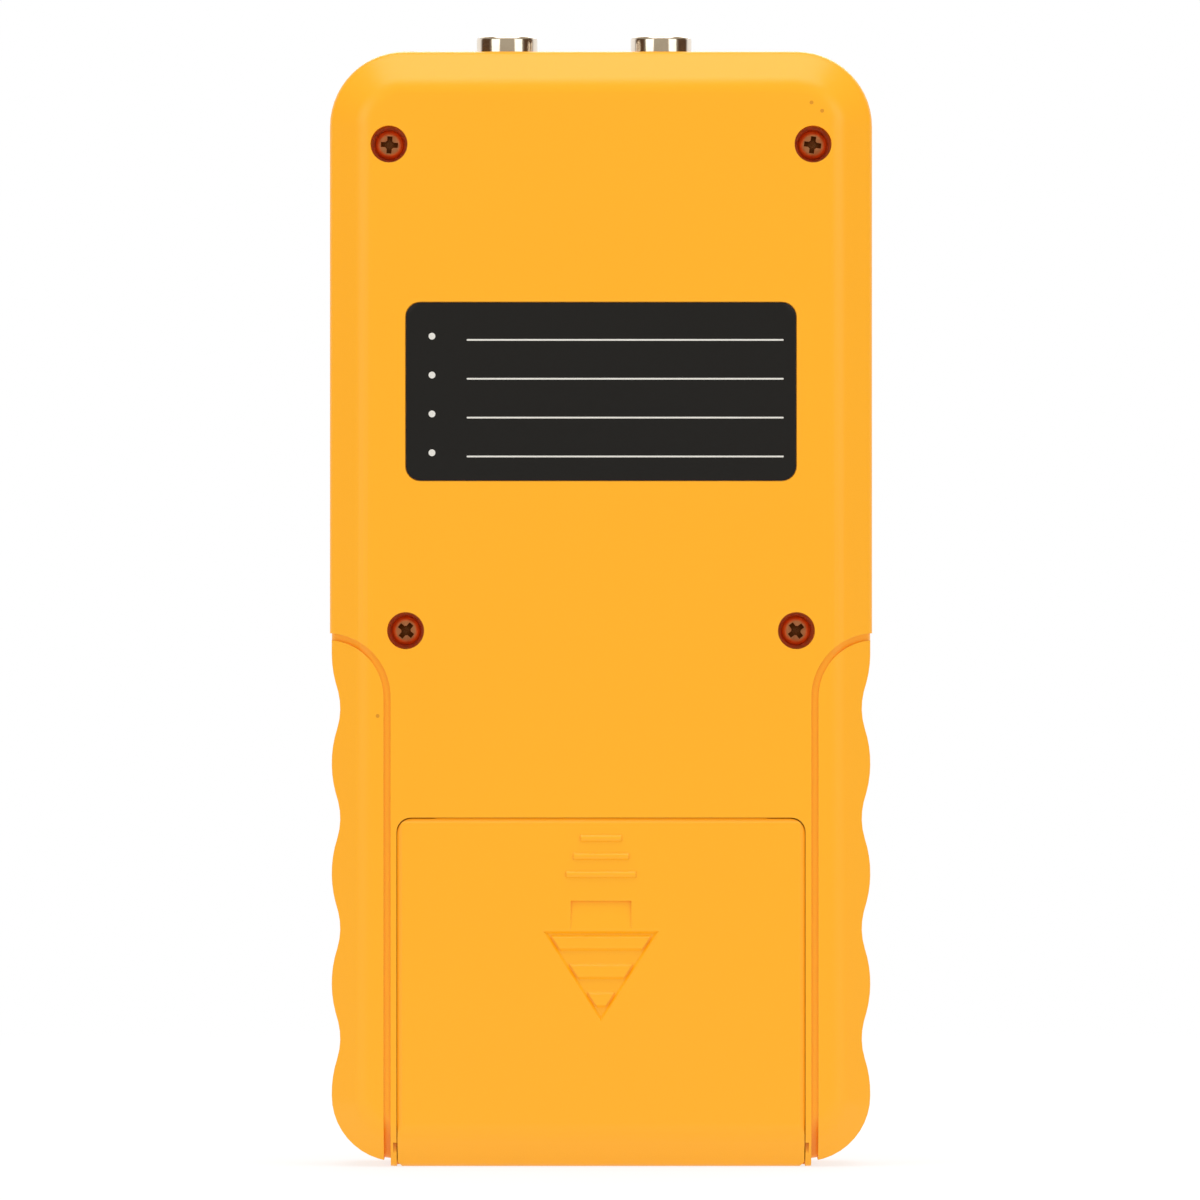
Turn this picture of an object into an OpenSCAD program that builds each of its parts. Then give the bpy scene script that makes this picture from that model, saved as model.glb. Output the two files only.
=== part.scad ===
// Hand-held ultrasonic thickness gauge, standing on its bottom end.
// X runs across the width, -Y is the back with the battery cover, +Y the front with the display, +Z is up.
// The origin is at the centre of the bottom. All sizes are in millimetres.

/* [Case] */
// Overall width of the case
case_w = 72; // [71.5:0.5:80]
// Height of the case without the sockets
case_h = 148; // [147:1:165]
// Thickness from the back face to the front face
case_d = 28; // [27.5:0.5:32]
// Depth of the rear half, from the back face to the joint line
rear_d = 14.5; // [14.5:0.25:16]
// Wall thickness of the two shells
wall = 2.2; // [1.9:0.1:2.5]
// Extra thickness of the front wall, behind the display
front_wall_extra = 0.4; // [0.3:0.1:0.8]
// Radius of the top corners
corner_r = 10; // [9:0.5:13]
// Radius of the bottom corners
foot_r = 9; // [8.5:0.5:11]
// Open seam between the two shells
seam = 0.25; // [0.1:0.05:0.4]
// Thickness of the lip inside the seam
lip_t = 1; // [0.8:0.1:1.2]
// Height of the lip inside the seam
lip_h = 1.4; // [1:0.1:1.8]

/* [Sloped edge] */
// Width of the sloped edge band, seen from the back
edge_w = 4.4; // [3.5:0.1:4.8]
// Depth of the sloped edge band
edge_d = 3.6; // [2.8:0.1:4]
// Blend radius between the band and the flat face
edge_face_r = 4; // [1:0.1:4.5]
// Blend radius between the band and the side wall
edge_side_r = 1.5; // [0.5:0.1:2]

/* [Grips] */
// Height of the finger grips at the sides
grip_h = 70.3; // [70.2:0.1:72.5]
// Number of finger hollows on each side
hollows = 4; // [2:1:4]
// Spacing of the finger hollows
hollow_pitch = 14.6; // [13:0.1:15]
// Depth of the finger hollows
hollow_depth = 1.15; // [0.6:0.05:1.5]
// Height of the lowest hollow's middle
hollow_z = 17; // [17:0.1:19]
// Share of the lobes' radius in the sum of lobe and hollow radii
lobe_share = 0.62; // [0.4:0.02:0.7]
// How far the grips stand back from the sides of the case
grip_inset = 0.25; // [0.1:0.05:0.5]
// How far the grips end above the bottom of the case
grip_lift = 0.65; // [0.3:0.05:1]
// Distance from the side of the case to the groove round the grip
groove_inset = 7.65; // [7:0.05:7.7]
// Radius of the groove's bend at the top of the grip
groove_r = 8; // [7.9:0.1:10]
// Width of the groove
groove_w = 0.9; // [0.6:0.05:1]
// Depth of the groove
groove_depth = 0.4; // [0.3:0.05:0.8]
// Depth of the groove where it runs out at the side
groove_nick = 0.25; // [0.1:0.05:0.3]
// Height of the notch where the groove runs out at the foot
groove_foot = 1; // [0.8:0.05:1.5]

/* [Battery cover] */
// Height of the battery cover
cover_h = 46.2; // [46:0.1:48]
// Thickness of the battery cover
cover_t = 2; // [1.8:0.1:2.2]
// Open seam round the battery cover
cover_gap = 0.12; // [0.1:0.02:0.3]
// Depth of the seam at the cover's edges
seam_depth = 0.3; // [0.3:0.05:0.8]
// Width of the narrow rail between the cover's seam and the groove
rail_w = 0.8; // [0.75:0.05:1]
// Radius of the cover's top corners
cover_corner_r = 1.9; // [1:0.1:3]
// Width of the chamfer round the cover's outer edges
cover_chamfer = 0.6; // [0.2:0.05:0.7]
// Length of the cover's bottom wall, from the back face
cover_foot = 11.2; // [9:0.1:11.5]
// Width of the side tongues that hold the cover
tongue_w = 0.45; // [0.4:0.05:0.65]
// Thickness of the side tongues
tongue_t = 0.8; // [0.6:0.05:0.9]
// Thickness of the latch
latch_t = 1.1; // [0.8:0.05:1.2]
// Width of the latch at the top edge of the cover
latch_w = 44; // [30:1:46]
// Length of the latch under the shell
latch_l = 1.6; // [1:0.1:2]

/* [Cover relief] */
// Depth of the arrow pressed into the cover
arrow_depth = 0.35; // [0.15:0.05:0.6]
// Height of the arrow's point above the bottom
arrow_tip_z = 19.3; // [18:0.1:21]
// Height of the arrow head
arrow_head_h = 12; // [10:0.1:13]
// Width of the arrow head
arrow_head_w = 15.4; // [12:0.1:18]
// Width of the arrow's shaft
arrow_shaft_w = 8; // [6:0.1:9]
// Length of the arrow's shaft
arrow_shaft_l = 4; // [3:0.1:4.5]
// Height of one bar in the arrow head
arrow_bar_h = 2.1; // [1.5:0.1:2.4]
// Spacing of the bars in the arrow head
arrow_bar_pitch = 3.75; // [3.4:0.05:3.8]
// Height of the lowest thumb rib above the bottom
rib_z = 38.8; // [38.5:0.1:39.5]
// Spacing of the thumb ribs
rib_pitch = 2.4; // [2:0.1:2.6]
// Width of the longest thumb rib
rib_w = 9.2; // [8:0.1:12]
// Difference in width from one thumb rib to the next
rib_step = 1.9; // [1:0.1:2.4]
// Height of a thumb rib's profile
rib_t = 0.9; // [0.8:0.1:1.4]
// How far the thumb ribs stand out
rib_proud = 0.3; // [0.1:0.05:0.4]

/* [Batteries] */
// Diameter of a battery cell
cell_d = 10.5; // [10:0.1:10.6]
// Length of a battery cell
cell_l = 44.5; // [43:0.1:44.7]
// Spacing of the cells
cell_pitch = 11.7; // [11.6:0.05:11.8]
// Height of the lowest cell's middle
cell_z = 12; // [11.9:0.05:12.1]
// Length of a compressed contact spring
spring_l = 4.6; // [4:0.1:4.8]
// Wire diameter of the contact springs
spring_wire = 0.6; // [0.4:0.05:0.7]
// Sheet thickness of the contacts
contact_t = 0.4; // [0.3:0.05:0.5]

/* [Screws] */
// Distance of the upper screws from the side of the case
upper_screw_inset = 7.9; // [7.6:0.1:8.4]
// Distance of the upper screws from the top
upper_screw_drop = 12.4; // [11.8:0.1:12.8]
// Distance of the lower screws from the side of the case
lower_screw_inset = 10.1; // [9.9:0.1:10.4]
// Height of the lower screws
lower_screw_z = 71.1; // [70.5:0.1:71.3]
// Diameter of the screw holes in the back
screw_hole_d = 4.9; // [4.7:0.1:5.2]
// Depth of the screw holes in the back
screw_hole_depth = 6; // [5.5:0.1:8.5]
// Diameter of the screw heads
screw_head_d = 3.9; // [3.6:0.1:4.5]
// Height of the screw heads
screw_head_h = 1.5; // [1.2:0.1:2]
// Shank diameter of the screws
screw_d = 2.5; // [2.2:0.1:2.6]
// Shank length of the screws
screw_l = 12; // [10:0.5:13]

/* [Sockets] */
// Place of the left socket as seen from the back
socket_left_x = -12.5; // [-14:0.1:-11]
// Distance between the two sockets
socket_pitch = 20.5; // [18:0.1:22]
// Distance of the sockets from the back face
socket_inset = 8.9; // [8.8:0.05:9]
// Diameter of the ring nuts
nut_d = 8.1; // [7.9:0.1:8.3]
// Height of the ring nuts above the case
nut_h = 2.1; // [1.6:0.1:3.5]
// Thread diameter of the sockets
socket_thread_d = 6.9; // [6.6:0.1:7]
// Bore of the sockets
port_d = 5; // [4.8:0.1:5.4]
// Depth of the bore in the sockets
port_depth = 8.8; // [7:0.1:10]

/* [Label] */
// Width of the label
label_w = 51.7; // [40:0.1:55]
// Height of the label
label_h = 23.6; // [18:0.1:28]
// Distance from the top of the case to the label's middle
label_drop = 45.2; // [44:0.1:47]
// Corner radius of the label
label_r = 1.9; // [1:0.1:3]
// Thickness of the label
label_t = 0.3; // [0.2:0.05:0.4]

/* [Display] */
// Distance from the side of the case to the display window
window_side = 8; // [7.5:0.5:10]
// Height of the display window
window_h = 40; // [36:0.5:41]
// Thickness of the display window
window_t = 1.5; // [1:0.1:1.6]
// Distance from the top of the case to the window's middle
window_drop = 37.4; // [37.3:0.1:38]
// Width of the window's printed border at the left and right
view_border_x = 3.5; // [3:0.1:6]
// Width of the window's printed border at the top and bottom
view_border_z = 4; // [3.5:0.1:6]
// Thickness of the display glass
glass_t = 2.4; // [1.8:0.1:2.6]
// Thickness of the backlight panel
backlight_t = 2.8; // [2.4:0.1:3]

/* [Keys] */
// Width of a key
key_w = 12; // [10:0.5:12.5]
// Height of a key
key_h = 8.5; // [7:0.5:8.5]
// Corner radius of a key
key_r = 3.4; // [2:0.1:3.4]
// How far the keys stand out of the front face
key_proud = 1; // [0.8:0.1:1.4]
// Travel of a key
key_travel = 0.6; // [0.4:0.1:0.6]
// Clearance between a key and its hole
key_gap = 0.3; // [0.2:0.05:0.4]
// Distance from the window's middle down to the upper row of keys
key_row_drop = 30.6; // [29.6:0.1:30.6]
// Distance between the two rows of keys
key_row_pitch = 14; // [12.5:0.5:15]
// Distance between the keys of the upper row
key_pitch = 15.5; // [15:0.1:15.5]
// Distance between the keys of the lower row
arrow_key_pitch = 18; // [16:0.5:20]

/* [Reference disc] */
// Diameter of the steel reference disc in the front
disc_d = 26; // [20:0.5:28]
// Thickness of the reference disc
disc_t = 5; // [4:0.1:5.5]
// How far the reference disc stands out of the front face
disc_proud = 0.3; // [0.1:0.1:0.6]
// Height of the reference disc's middle
disc_z = 24; // [22:0.5:27]

/* [Hidden] */
$fn = 48;

// Colours
case_yellow = "#fdb32a";
label_black = "#232323";
screw_steel = "#8a6a58";
nickel = "#cfc8bc";
brass_gold = "#d4ae4f";
ptfe_white = "#f2f2ee";
board_green = "#1f6b3f";
chip_black = "#2a2a2c";
window_grey = "#40484a";
lcd_grey = "#8f9c86";
key_grey = "#4a4d50";
power_red = "#c8402a";
disc_steel = "#b9bcbd";
cell_sleeve = "#3c4652";

// Small allowances
eps = 0.01;
past = 3;
fit_gap = 0.1;
seat_gap = 0.2;

// Main planes of the case
half_w = case_w / 2;
back_y = (rib_proud - case_d - key_proud) / 2;
front_y = back_y + case_d;
split_y = back_y + rear_d;
front_d = case_d - rear_d;
front_wall = wall + front_wall_extra;
front_inner_y = front_y - front_wall;

// Grips and groove
lobe_x = half_w - grip_inset;
groove_x = half_w - groove_inset;
groove_bend_z = grip_h - groove_r;
radius_sum = (pow(hollow_pitch / 2, 2) + pow(hollow_depth, 2)) / (2 * hollow_depth);
lobe_r = radius_sum * lobe_share;
hollow_r = radius_sum - lobe_r;
grip_step = hollow_pitch / 12;
grip_arc_steps = 10;
grip_foot_r = foot_r - grip_inset;

// Cavity of the shells
grip_wall_x = lobe_x - hollow_depth - wall;
upper_wall_x = half_w - wall;
cavity_foot_z = grip_lift + wall;
cavity_step = 1;
cavity_step_z = grip_h + cavity_step;

// Battery cover and battery box
cover_edge_x = groove_x - groove_w / 2 - rail_w;
cover_half_w = cover_edge_x - cover_gap;
seam_play = 0.06;
seam_fill = cover_gap - seam_play;
cover_inner_y = back_y + cover_t;
cover_ledge_y = cover_inner_y + fit_gap;
cover_top_z = cover_h;
cover_foot_y = back_y + cover_foot;
box_wall = 1.4;
end_play = 0.3;
box_half_w = (cell_l + spring_l) / 2 + contact_t + end_play;
cell_y = cover_ledge_y + seat_gap + cell_d / 2;
box_floor_y = cell_y + cell_d / 2 + fit_gap;
box_floor_t = 1.3;
cell_count = 3;
box_bottom_z = cell_z - cell_d / 2 - seat_gap;
box_top_z = cell_z + (cell_count - 1) * cell_pitch + cell_d / 2 + 2 * seat_gap;
divider_t = cell_pitch - cell_d - 2 * seat_gap;
divider_d = cell_d * 0.6;
divider_l = cell_l / 2;
nipple_d = 3.8;
nipple_h = 0.8;
cell_rim = 0.4;
coil_turns = 3.2;
coil_wide_r = 3.3;
coil_narrow_r = 2;
coil_steps = 44;
coil_sides = 6;
tongue_y = cover_inner_y - tongue_t;
tongue_drop = 4;
tongue_top_z = cover_top_z - tongue_drop;
latch_y = cover_inner_y - latch_t;
latch_root = 1.5;
rail_depth = 3.4;
rail_block_w = 2.3;
rail_outer_x = cover_edge_x + rail_block_w;
contact_x = box_half_w - contact_t;
contact_size = 8.4;
tab_w = 3;
tab_d = 1.6;
tab_offset = 2.6;
tab_y = cell_y + tab_offset;
tab_end_x = box_half_w + box_wall + tab_d;
supply_lead_d = 1.4;
supply_lead_x = tab_end_x - supply_lead_d / 2;
supply_lead_bend = 2;
supply_lead_rise = 2;

// Screw bosses
upper_screw_x = half_w - upper_screw_inset;
lower_screw_x = half_w - lower_screw_inset;
screw_places = [[-upper_screw_x, case_h - upper_screw_drop], [upper_screw_x, case_h - upper_screw_drop],
    [-lower_screw_x, lower_screw_z], [lower_screw_x, lower_screw_z]];
boss_wall = 1.35;
rear_boss_d = screw_hole_d + 2 * boss_wall;
front_boss_wall = 2.25;
front_boss_d = screw_d + 2 * front_boss_wall;
screw_seat_y = back_y + screw_hole_depth;
screw_clear_gap = 0.25;
screw_clear_d = screw_d + 2 * screw_clear_gap;
screw_pilot_d = screw_d + fit_gap;
screw_tip_y = screw_seat_y + screw_l;
screw_spins = [4, 8, 40, 52];

// Sockets
socket_xs = [socket_left_x, socket_left_x + socket_pitch];
socket_y = back_y + socket_inset;
socket_flange_rim = 0.8;
socket_flange_d = socket_thread_d + 2 * socket_flange_rim;
socket_flange_t = 1.5;
socket_inner_z = case_h - wall;
socket_sink = 0.3;
socket_top_z = case_h + nut_h - socket_sink;
socket_chamfer = 0.3;
socket_neck = 0.4;
socket_neck_d = socket_thread_d - 2 * socket_neck;
port_floor_z = socket_top_z - port_depth;
socket_tail_l = 9;
socket_tail_z = port_floor_z - socket_tail_l;
port_step = 0.5;
insulator_d = port_d - 2 * port_step;
socket_contact_d = 1.6;
contact_hole_d = 0.7;
contact_hole_depth = 4;
contact_tail_d = 1;
contact_tail_l = 1;
contact_tail_z = socket_tail_z - contact_tail_l;
nut_rim = 0.5;
socket_lead_d = 1.8;
socket_lead_drop = 8;
socket_lead_z = socket_tail_z - socket_lead_drop;
socket_lead_bend = 3;

// Label
label_low = case_h - label_drop - label_h / 2;
label_high = label_low + label_h;
label_sink = 0.05;
label_y = back_y + label_sink;

// Front stack, from the front face inwards
ledge_y = front_y - window_t - fit_gap;
window_z = case_h - window_drop;
window_w = case_w - 2 * window_side;
view_w = window_w - 2 * view_border_x;
view_h = window_h - 2 * view_border_z;
frame_front_y = front_inner_y - fit_gap;
frame_lip = 0.6;
glass_front_y = frame_front_y - frame_lip;
glass_rear_y = glass_front_y - glass_t;
board_front_y = glass_rear_y - backlight_t;
board_t = 1.6;
board_rear_y = board_front_y - board_t;
glass_border_x = 2.2;
glass_border_z = 3.2;
frame_wall = 1.8;
frame_reveal = 0.5;
glass_w = view_w + 2 * glass_border_x;
glass_h = view_h + 2 * glass_border_z;
frame_w = glass_w + 2 * frame_wall;
frame_h = glass_h + 2 * frame_wall;
strip_t = 2;
strip_gap = 0.5;
backlight_h = glass_h - 2 * (strip_t + strip_gap);
window_r = 2.5;

// Board
board_side_gap = 0.8;
board_top_drop = 10;
board_lift = 7;
board_half_w = grip_wall_x - board_side_gap;
board_top_z = case_h - board_top_drop;
board_bottom_z = box_top_z + board_lift;
board_notch_gap = 0.5;
board_notch_d = front_boss_d + 2 * board_notch_gap;
board_screw_head_d = 3.4;
board_screw_head_h = 1.2;
board_screw_d = 1.5;
board_screw_l = 6;
standoff_d = 5;
standoff_hole_d = board_screw_d + seat_gap;
standoff_edge = 3.3;
standoff_upper = [18, board_top_z - standoff_edge];
standoff_lower = [22, board_bottom_z + standoff_edge];
standoff_places = [for (side = [-1, 1]) for (at = [standoff_upper, standoff_lower]) [side * at[0], at[1]]];

controller_x = 6;
controller_drop = 14;
controller_place = [controller_x, window_z - controller_drop];
controller_size = [12, 1.6, 12];
receiver_x = -10;
receiver_rise = 1;
receiver_place = [receiver_x, window_z + receiver_rise];
receiver_size = [8, 1.5, 5];
crystal_drop = 13;
crystal_place = [receiver_x, window_z - crystal_drop];
crystal_size = [4.6, 2.2, 11];
capacitor_x = -8;
capacitor_drop = 26;
capacitor_pitch = 8;
capacitor_z = window_z - capacitor_drop;
capacitor_places = [[capacitor_x, capacitor_z], [capacitor_x - capacitor_pitch, capacitor_z]];
capacitor_d = 6.3;
capacitor_h = 3;

// Keys
key_row_z = window_z - key_row_drop;
key_places = [[-key_pitch, key_row_z], [0, key_row_z], [key_pitch, key_row_z],
    [-arrow_key_pitch / 2, key_row_z - key_row_pitch], [arrow_key_pitch / 2, key_row_z - key_row_pitch]];
key_flange = 1;
key_flange_t = 0.8;
key_flange_y = front_inner_y - seat_gap;
key_crown = 0.5;
switch_w = 6;
switch_h = 3.2;
plunger_d = 3.4;
plunger_proud = 0.9;
plunger_top_y = board_front_y + switch_h + plunger_proud;
plunger_l = 2.2;
key_stem_d = 4.4;

// Reference disc
disc_floor_y = front_y + disc_proud - disc_t;
disc_cup_wall = 1.5;
disc_cup_d = disc_d + 2 * (disc_cup_wall + fit_gap);
disc_rim = 0.4;

// Points on a circular arc
function arc(cx, cy, r, from, to, steps) =
    [for (i = [0:steps]) let (a = from + (to - from) * i / steps) [cx + r * cos(a), cy + r * sin(a)]];

// Outline of a rectangle with round corners, centred on x and running from low to high
function rounded_rect(half, low, high, r, steps = 6) = concat(
    arc(half - r, high - r, r, 0, 90, steps), arc(r - half, high - r, r, 90, 180, steps),
    arc(r - half, low + r, r, 180, 270, steps), arc(half - r, low + r, r, 270, 360, steps));

// A point rounded to whole microns, so that faces drawn from it in two ways meet exactly
function micron(point) = [for (v = point) round(v * 1000) / 1000];

// Profile of the sloped edge as [distance from the side, depth from the face], from side wall to flat face
function edge_profile(steps) =
    let (slope = atan(edge_d / edge_w), side_run = edge_side_r * tan((90 - slope) / 2),
        face_run = edge_face_r * tan(slope / 2))
    concat(
        [for (i = [0:steps]) let (a = 90 + (slope - 90) * i / steps)
            micron([edge_side_r * (1 - sin(a)), edge_d + side_run - edge_side_r * cos(a)])],
        [for (i = [0:steps]) let (a = slope * (1 - i / steps))
            micron([edge_w + face_run - edge_face_r * sin(a), edge_face_r * (1 - cos(a))])]);

function reversed(list) = [for (i = [len(list) - 1:-1:0]) list[i]];

// Distance of the grip's side from the middle at height z: round hollows between round lobes
function grip_side(z) =
    let (nearest = max(0, min(hollows - 1, round((z - hollow_z) / hollow_pitch))),
        off = min(hollow_pitch / 2, abs(z - hollow_z - nearest * hollow_pitch)),
        meet = hollow_pitch / 2 * hollow_r / radius_sum,
        from_lobe = hollow_pitch / 2 - off)
    off < meet ? lobe_x - hollow_depth + hollow_r - sqrt(hollow_r * hollow_r - off * off)
        : lobe_x - lobe_r + sqrt(lobe_r * lobe_r - from_lobe * from_lobe);

// Extrusions along the three axes: the outline is in XY, XZ or YZ
module along_z(from, to) { translate([0, 0, from]) linear_extrude(to - from) children(); }
module along_y(from, to) { translate([0, to, 0]) rotate([90, 0, 0]) linear_extrude(to - from) children(); }
module along_x(from, to) {
    translate([from, 0, 0]) rotate([90, 0, 90]) linear_extrude(to - from) children();
}

// A round bar along Y, at a place in XZ
module bar_y(place, d, from, to) {
    translate([place[0], to, place[1]]) rotate([90, 0, 0]) cylinder(d = d, h = to - from);
}

// One half of the case as a solid, with its face at y = inset and its joint at y = depth
module half_form(depth, inset = 0, steps = 4) {
    w = half_w - inset;
    top = case_h - inset;
    top_r = corner_r - inset;
    low_r = foot_r - inset;
    edge = edge_profile(steps);
    left_edge = [for (p = edge) [p[0] - w, p[1] + inset]];
    right_edge = [for (p = edge) [w - p[0], p[1] + inset]];
    along_z(inset + low_r, top - top_r)
        polygon(concat([[-w, depth]], left_edge, reversed(right_edge), [[w, depth]]));
    along_x(top_r - w, w - top_r) polygon(concat([[depth, top - top_r], [depth, top]],
        [for (p = edge) [p[1] + inset, top - p[0]]], [[inset, top - top_r]]));
    along_x(low_r - w, w - low_r) polygon(concat([[depth, inset + low_r], [depth, inset]],
        [for (p = edge) [p[1] + inset, inset + p[0]]], [[inset, inset + low_r]]));
    for (side = [0, 1]) mirror([side, 0, 0]) {
        translate([w - top_r, 0, top - top_r]) rotate([-90, 0, 0]) rotate([0, 0, -90])
            corner_turn(top_r, depth, inset, edge);
        translate([w - low_r, 0, inset + low_r]) rotate([-90, 0, 0])
            corner_turn(low_r, depth, inset, edge);
    }
}

// The sloped edge turned round a corner by a quarter
module corner_turn(r, depth, inset, edge) {
    rotate_extrude(angle = 90) polygon(concat([[0, depth], [r, depth]],
        [for (p = edge) [r - p[0], p[1] + inset]], [[0, inset]]));
}

// What lies outside the scalloped side of one grip, as an outline in XZ
module grip_outside() {
    arc_x = lobe_x - grip_foot_r;
    arc_z = grip_lift + grip_foot_r;
    arc_end = acos((groove_x - arc_x) / grip_foot_r);
    steps = floor((grip_h - arc_z) / grip_step);
    polygon(concat([[half_w + past, grip_h], [lobe_x, grip_h]],
        [for (i = [1:steps - 1]) let (z = grip_h - i * grip_step) [grip_side(z), z]],
        arc(arc_x, arc_z, grip_foot_r, 0, -arc_end, grip_arc_steps),
        [[groove_x, -past], [half_w + past, -past]]));
}

// The groove round one grip, as an outline in XZ
module groove_path() {
    translate([groove_x - groove_w / 2, -past]) square([groove_w, groove_bend_z + past]);
    intersection() {
        translate([groove_x + groove_r, groove_bend_z]) difference() {
            circle(r = groove_r + groove_w / 2);
            circle(r = groove_r - groove_w / 2);
        }
        translate([groove_x - groove_w, groove_bend_z]) square([groove_inset + past, groove_r + past]);
    }
}

// Outside of one half of the case, with its grips and grooves
module half_outside(depth) {
    difference() {
        half_form(depth);
        for (side = [0, 1]) mirror([side, 0, 0]) {
            along_y(-past, depth + past) grip_outside();
            difference() {
                along_y(-past, depth + past) groove_path();
                translate([0, groove_depth - groove_nick, groove_foot - groove_nick])
                    half_form(depth + 2 * past, groove_nick);
            }
        }
    }
}

// Outline of the hollow inside the case, grown outwards by grow
module cavity_outline(grow = 0) {
    side = grip_wall_x + grow;
    upper = upper_wall_x + grow;
    low = cavity_foot_z - grow;
    high = case_h - wall + grow;
    top_r = corner_r - wall + grow;
    low_r = foot_r - wall + grow;
    step = cavity_step_z - grow;
    right = concat(arc(side - low_r, low + low_r, low_r, -90, 0, 6), [[side, step], [upper, step]],
        arc(upper - top_r, high - top_r, top_r, 0, 90, 6));
    polygon(concat(right, reversed([for (p = right) [-p[0], p[1]]])));
}

// Hollow of one half, behind a face wall of the given thickness
module half_cavity(depth, face_wall) {
    intersection() {
        along_y(face_wall, depth + past) cavity_outline();
        half_form(depth + 2 * past, wall, 1);
    }
}

// Moves a half form to the back or to the front of the case
module at_back() { translate([0, back_y, 0]) children(); }
module at_front() { translate([0, front_y, 0]) mirror([0, 1, 0]) children(); }

// Space that the battery cover takes, grown at its sides, at its ends and underneath
module cover_space(sides = 0, ends = 0, under = 0) {
    intersection() {
        along_y(back_y - past, cover_foot_y + ends)
            polygon(rounded_rect(cover_half_w + sides, -past, cover_top_z + ends, cover_corner_r));
        difference() {
            translate([-half_w, back_y - past, -past]) cube([case_w, case_d, case_h]);
            at_back() half_form(case_d, cover_t + under);
        }
    }
}

// Steps under the cover's edges that close the foot of its seam
module seam_steps() {
    intersection() {
        cover_space(seam_fill);
        translate([0, 0, cover_chamfer - seam_depth]) at_back() half_form(case_d, seam_depth);
    }
    translate([-latch_w / 2, back_y + seam_depth, cover_top_z - latch_root])
        cube([latch_w, cover_t - seam_depth, latch_root + seam_fill]);
}

// Channels for the cover's side tongues and the slot for its latch
module cover_channels() {
    channel_x = cover_half_w + tongue_w + cover_gap;
    slot_half_w = latch_w / 2 + cover_gap;
    translate([-channel_x, tongue_y - seat_gap, -past])
        cube([2 * channel_x, tongue_t + seat_gap + fit_gap, tongue_top_z + cover_gap + past]);
    translate([-slot_half_w, latch_y - fit_gap, cover_top_z - latch_root])
        cube([2 * slot_half_w, latch_t + 2 * fit_gap, latch_root + latch_l + seat_gap]);
}

// Walls of the battery box, before the cells' room is taken out
module battery_box() {
    inner_y = back_y + wall / 2;
    head_z = cover_top_z + latch_l + wall;
    translate([-box_half_w - box_wall, inner_y, cavity_foot_z - eps])
        cube([2 * (box_half_w + box_wall), box_floor_y + box_floor_t - inner_y,
            box_top_z + box_wall - cavity_foot_z]);
    translate([-rail_outer_x, inner_y, cavity_foot_z + edge_w])
        cube([2 * rail_outer_x, back_y + wall + rail_depth - inner_y, head_z - cavity_foot_z - edge_w]);
}

// Room for the cells, with low dividers left between them
module battery_room() {
    difference() {
        translate([-box_half_w, back_y, box_bottom_z])
            cube([2 * box_half_w, box_floor_y - back_y, box_top_z - box_bottom_z]);
        for (i = [1:cell_count - 1]) {
            divider_z = cell_z + (i - 0.5) * cell_pitch - divider_t / 2;
            translate([-divider_l / 2, box_floor_y - divider_d, divider_z])
                cube([divider_l, divider_d, divider_t]);
        }
    }
    for (side = [0, 1]) mirror([side, 0, 0])
        translate([contact_x, tab_y - fit_gap, terminal_z(side) - tab_w / 2 - fit_gap])
            cube([tab_end_x + fit_gap - contact_x, tab_d + 2 * fit_gap, tab_w + 2 * fit_gap]);
}

// Height of the cell that a terminal contact serves: the highest on the right, the lowest on the left
function terminal_z(mirrored) = cell_z + (mirrored > 0 ? 0 : cell_count - 1) * cell_pitch;

module rear_shell() {
    color(case_yellow) difference() {
        union() {
            difference() {
                at_back() half_outside(rear_d - seam / 2);
                at_back() half_cavity(rear_d, wall);
                along_y(split_y - lip_h - seat_gap, split_y + past) cavity_outline(lip_t + fit_gap);
            }
            for (place = screw_places) bar_y(place, rear_boss_d, back_y + wall / 2, split_y);
            battery_box();
        }
        battery_room();
        cover_space(cover_gap, cover_gap, fit_gap);
        cover_channels();
        for (place = screw_places) {
            bar_y(place, screw_hole_d, back_y - past, screw_seat_y);
            bar_y(place, screw_clear_d, back_y - past, split_y + past);
        }
        along_y(back_y - past, label_y + label_t)
            label_outline(fit_gap);
        for (x = socket_xs) {
            translate([x, socket_y, socket_inner_z - past])
                cylinder(d = socket_thread_d + seat_gap, h = wall + 2 * past);
            translate([x, socket_y, socket_tail_z])
                cylinder(d = socket_flange_d + 2 * seat_gap, h = socket_inner_z - socket_tail_z);
        }
    }
}

module front_shell() {
    color(case_yellow) difference() {
        union() {
            difference() {
                at_front() half_outside(front_d - seam / 2);
                at_front() half_cavity(front_d, front_wall);
            }
            along_y(split_y - lip_h, split_y + lip_h) difference() {
                cavity_outline(lip_t);
                cavity_outline();
            }
            for (place = screw_places) bar_y(place, front_boss_d, split_y, front_inner_y + wall / 2);
            for (place = standoff_places) bar_y(place, standoff_d, board_front_y, front_inner_y + wall / 2);
            bar_y([0, disc_z], disc_cup_d, disc_floor_y - disc_cup_wall, front_y - wall / 2);
        }
        along_y(ledge_y, front_y + past) window_outline(fit_gap);
        display_block(view_w, view_h, front_inner_y - past, front_y + past);
        for (place = key_places) along_y(front_inner_y - past, front_y + past) key_outline(place, key_gap);
        bar_y([0, disc_z], disc_d + 2 * fit_gap, disc_floor_y, front_y + past);
        for (place = screw_places) bar_y(place, screw_pilot_d, split_y - past, screw_tip_y + 2 * seat_gap);
        for (place = standoff_places) bar_y(place, standoff_hole_d, board_front_y - past, front_inner_y);
    }
}

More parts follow.
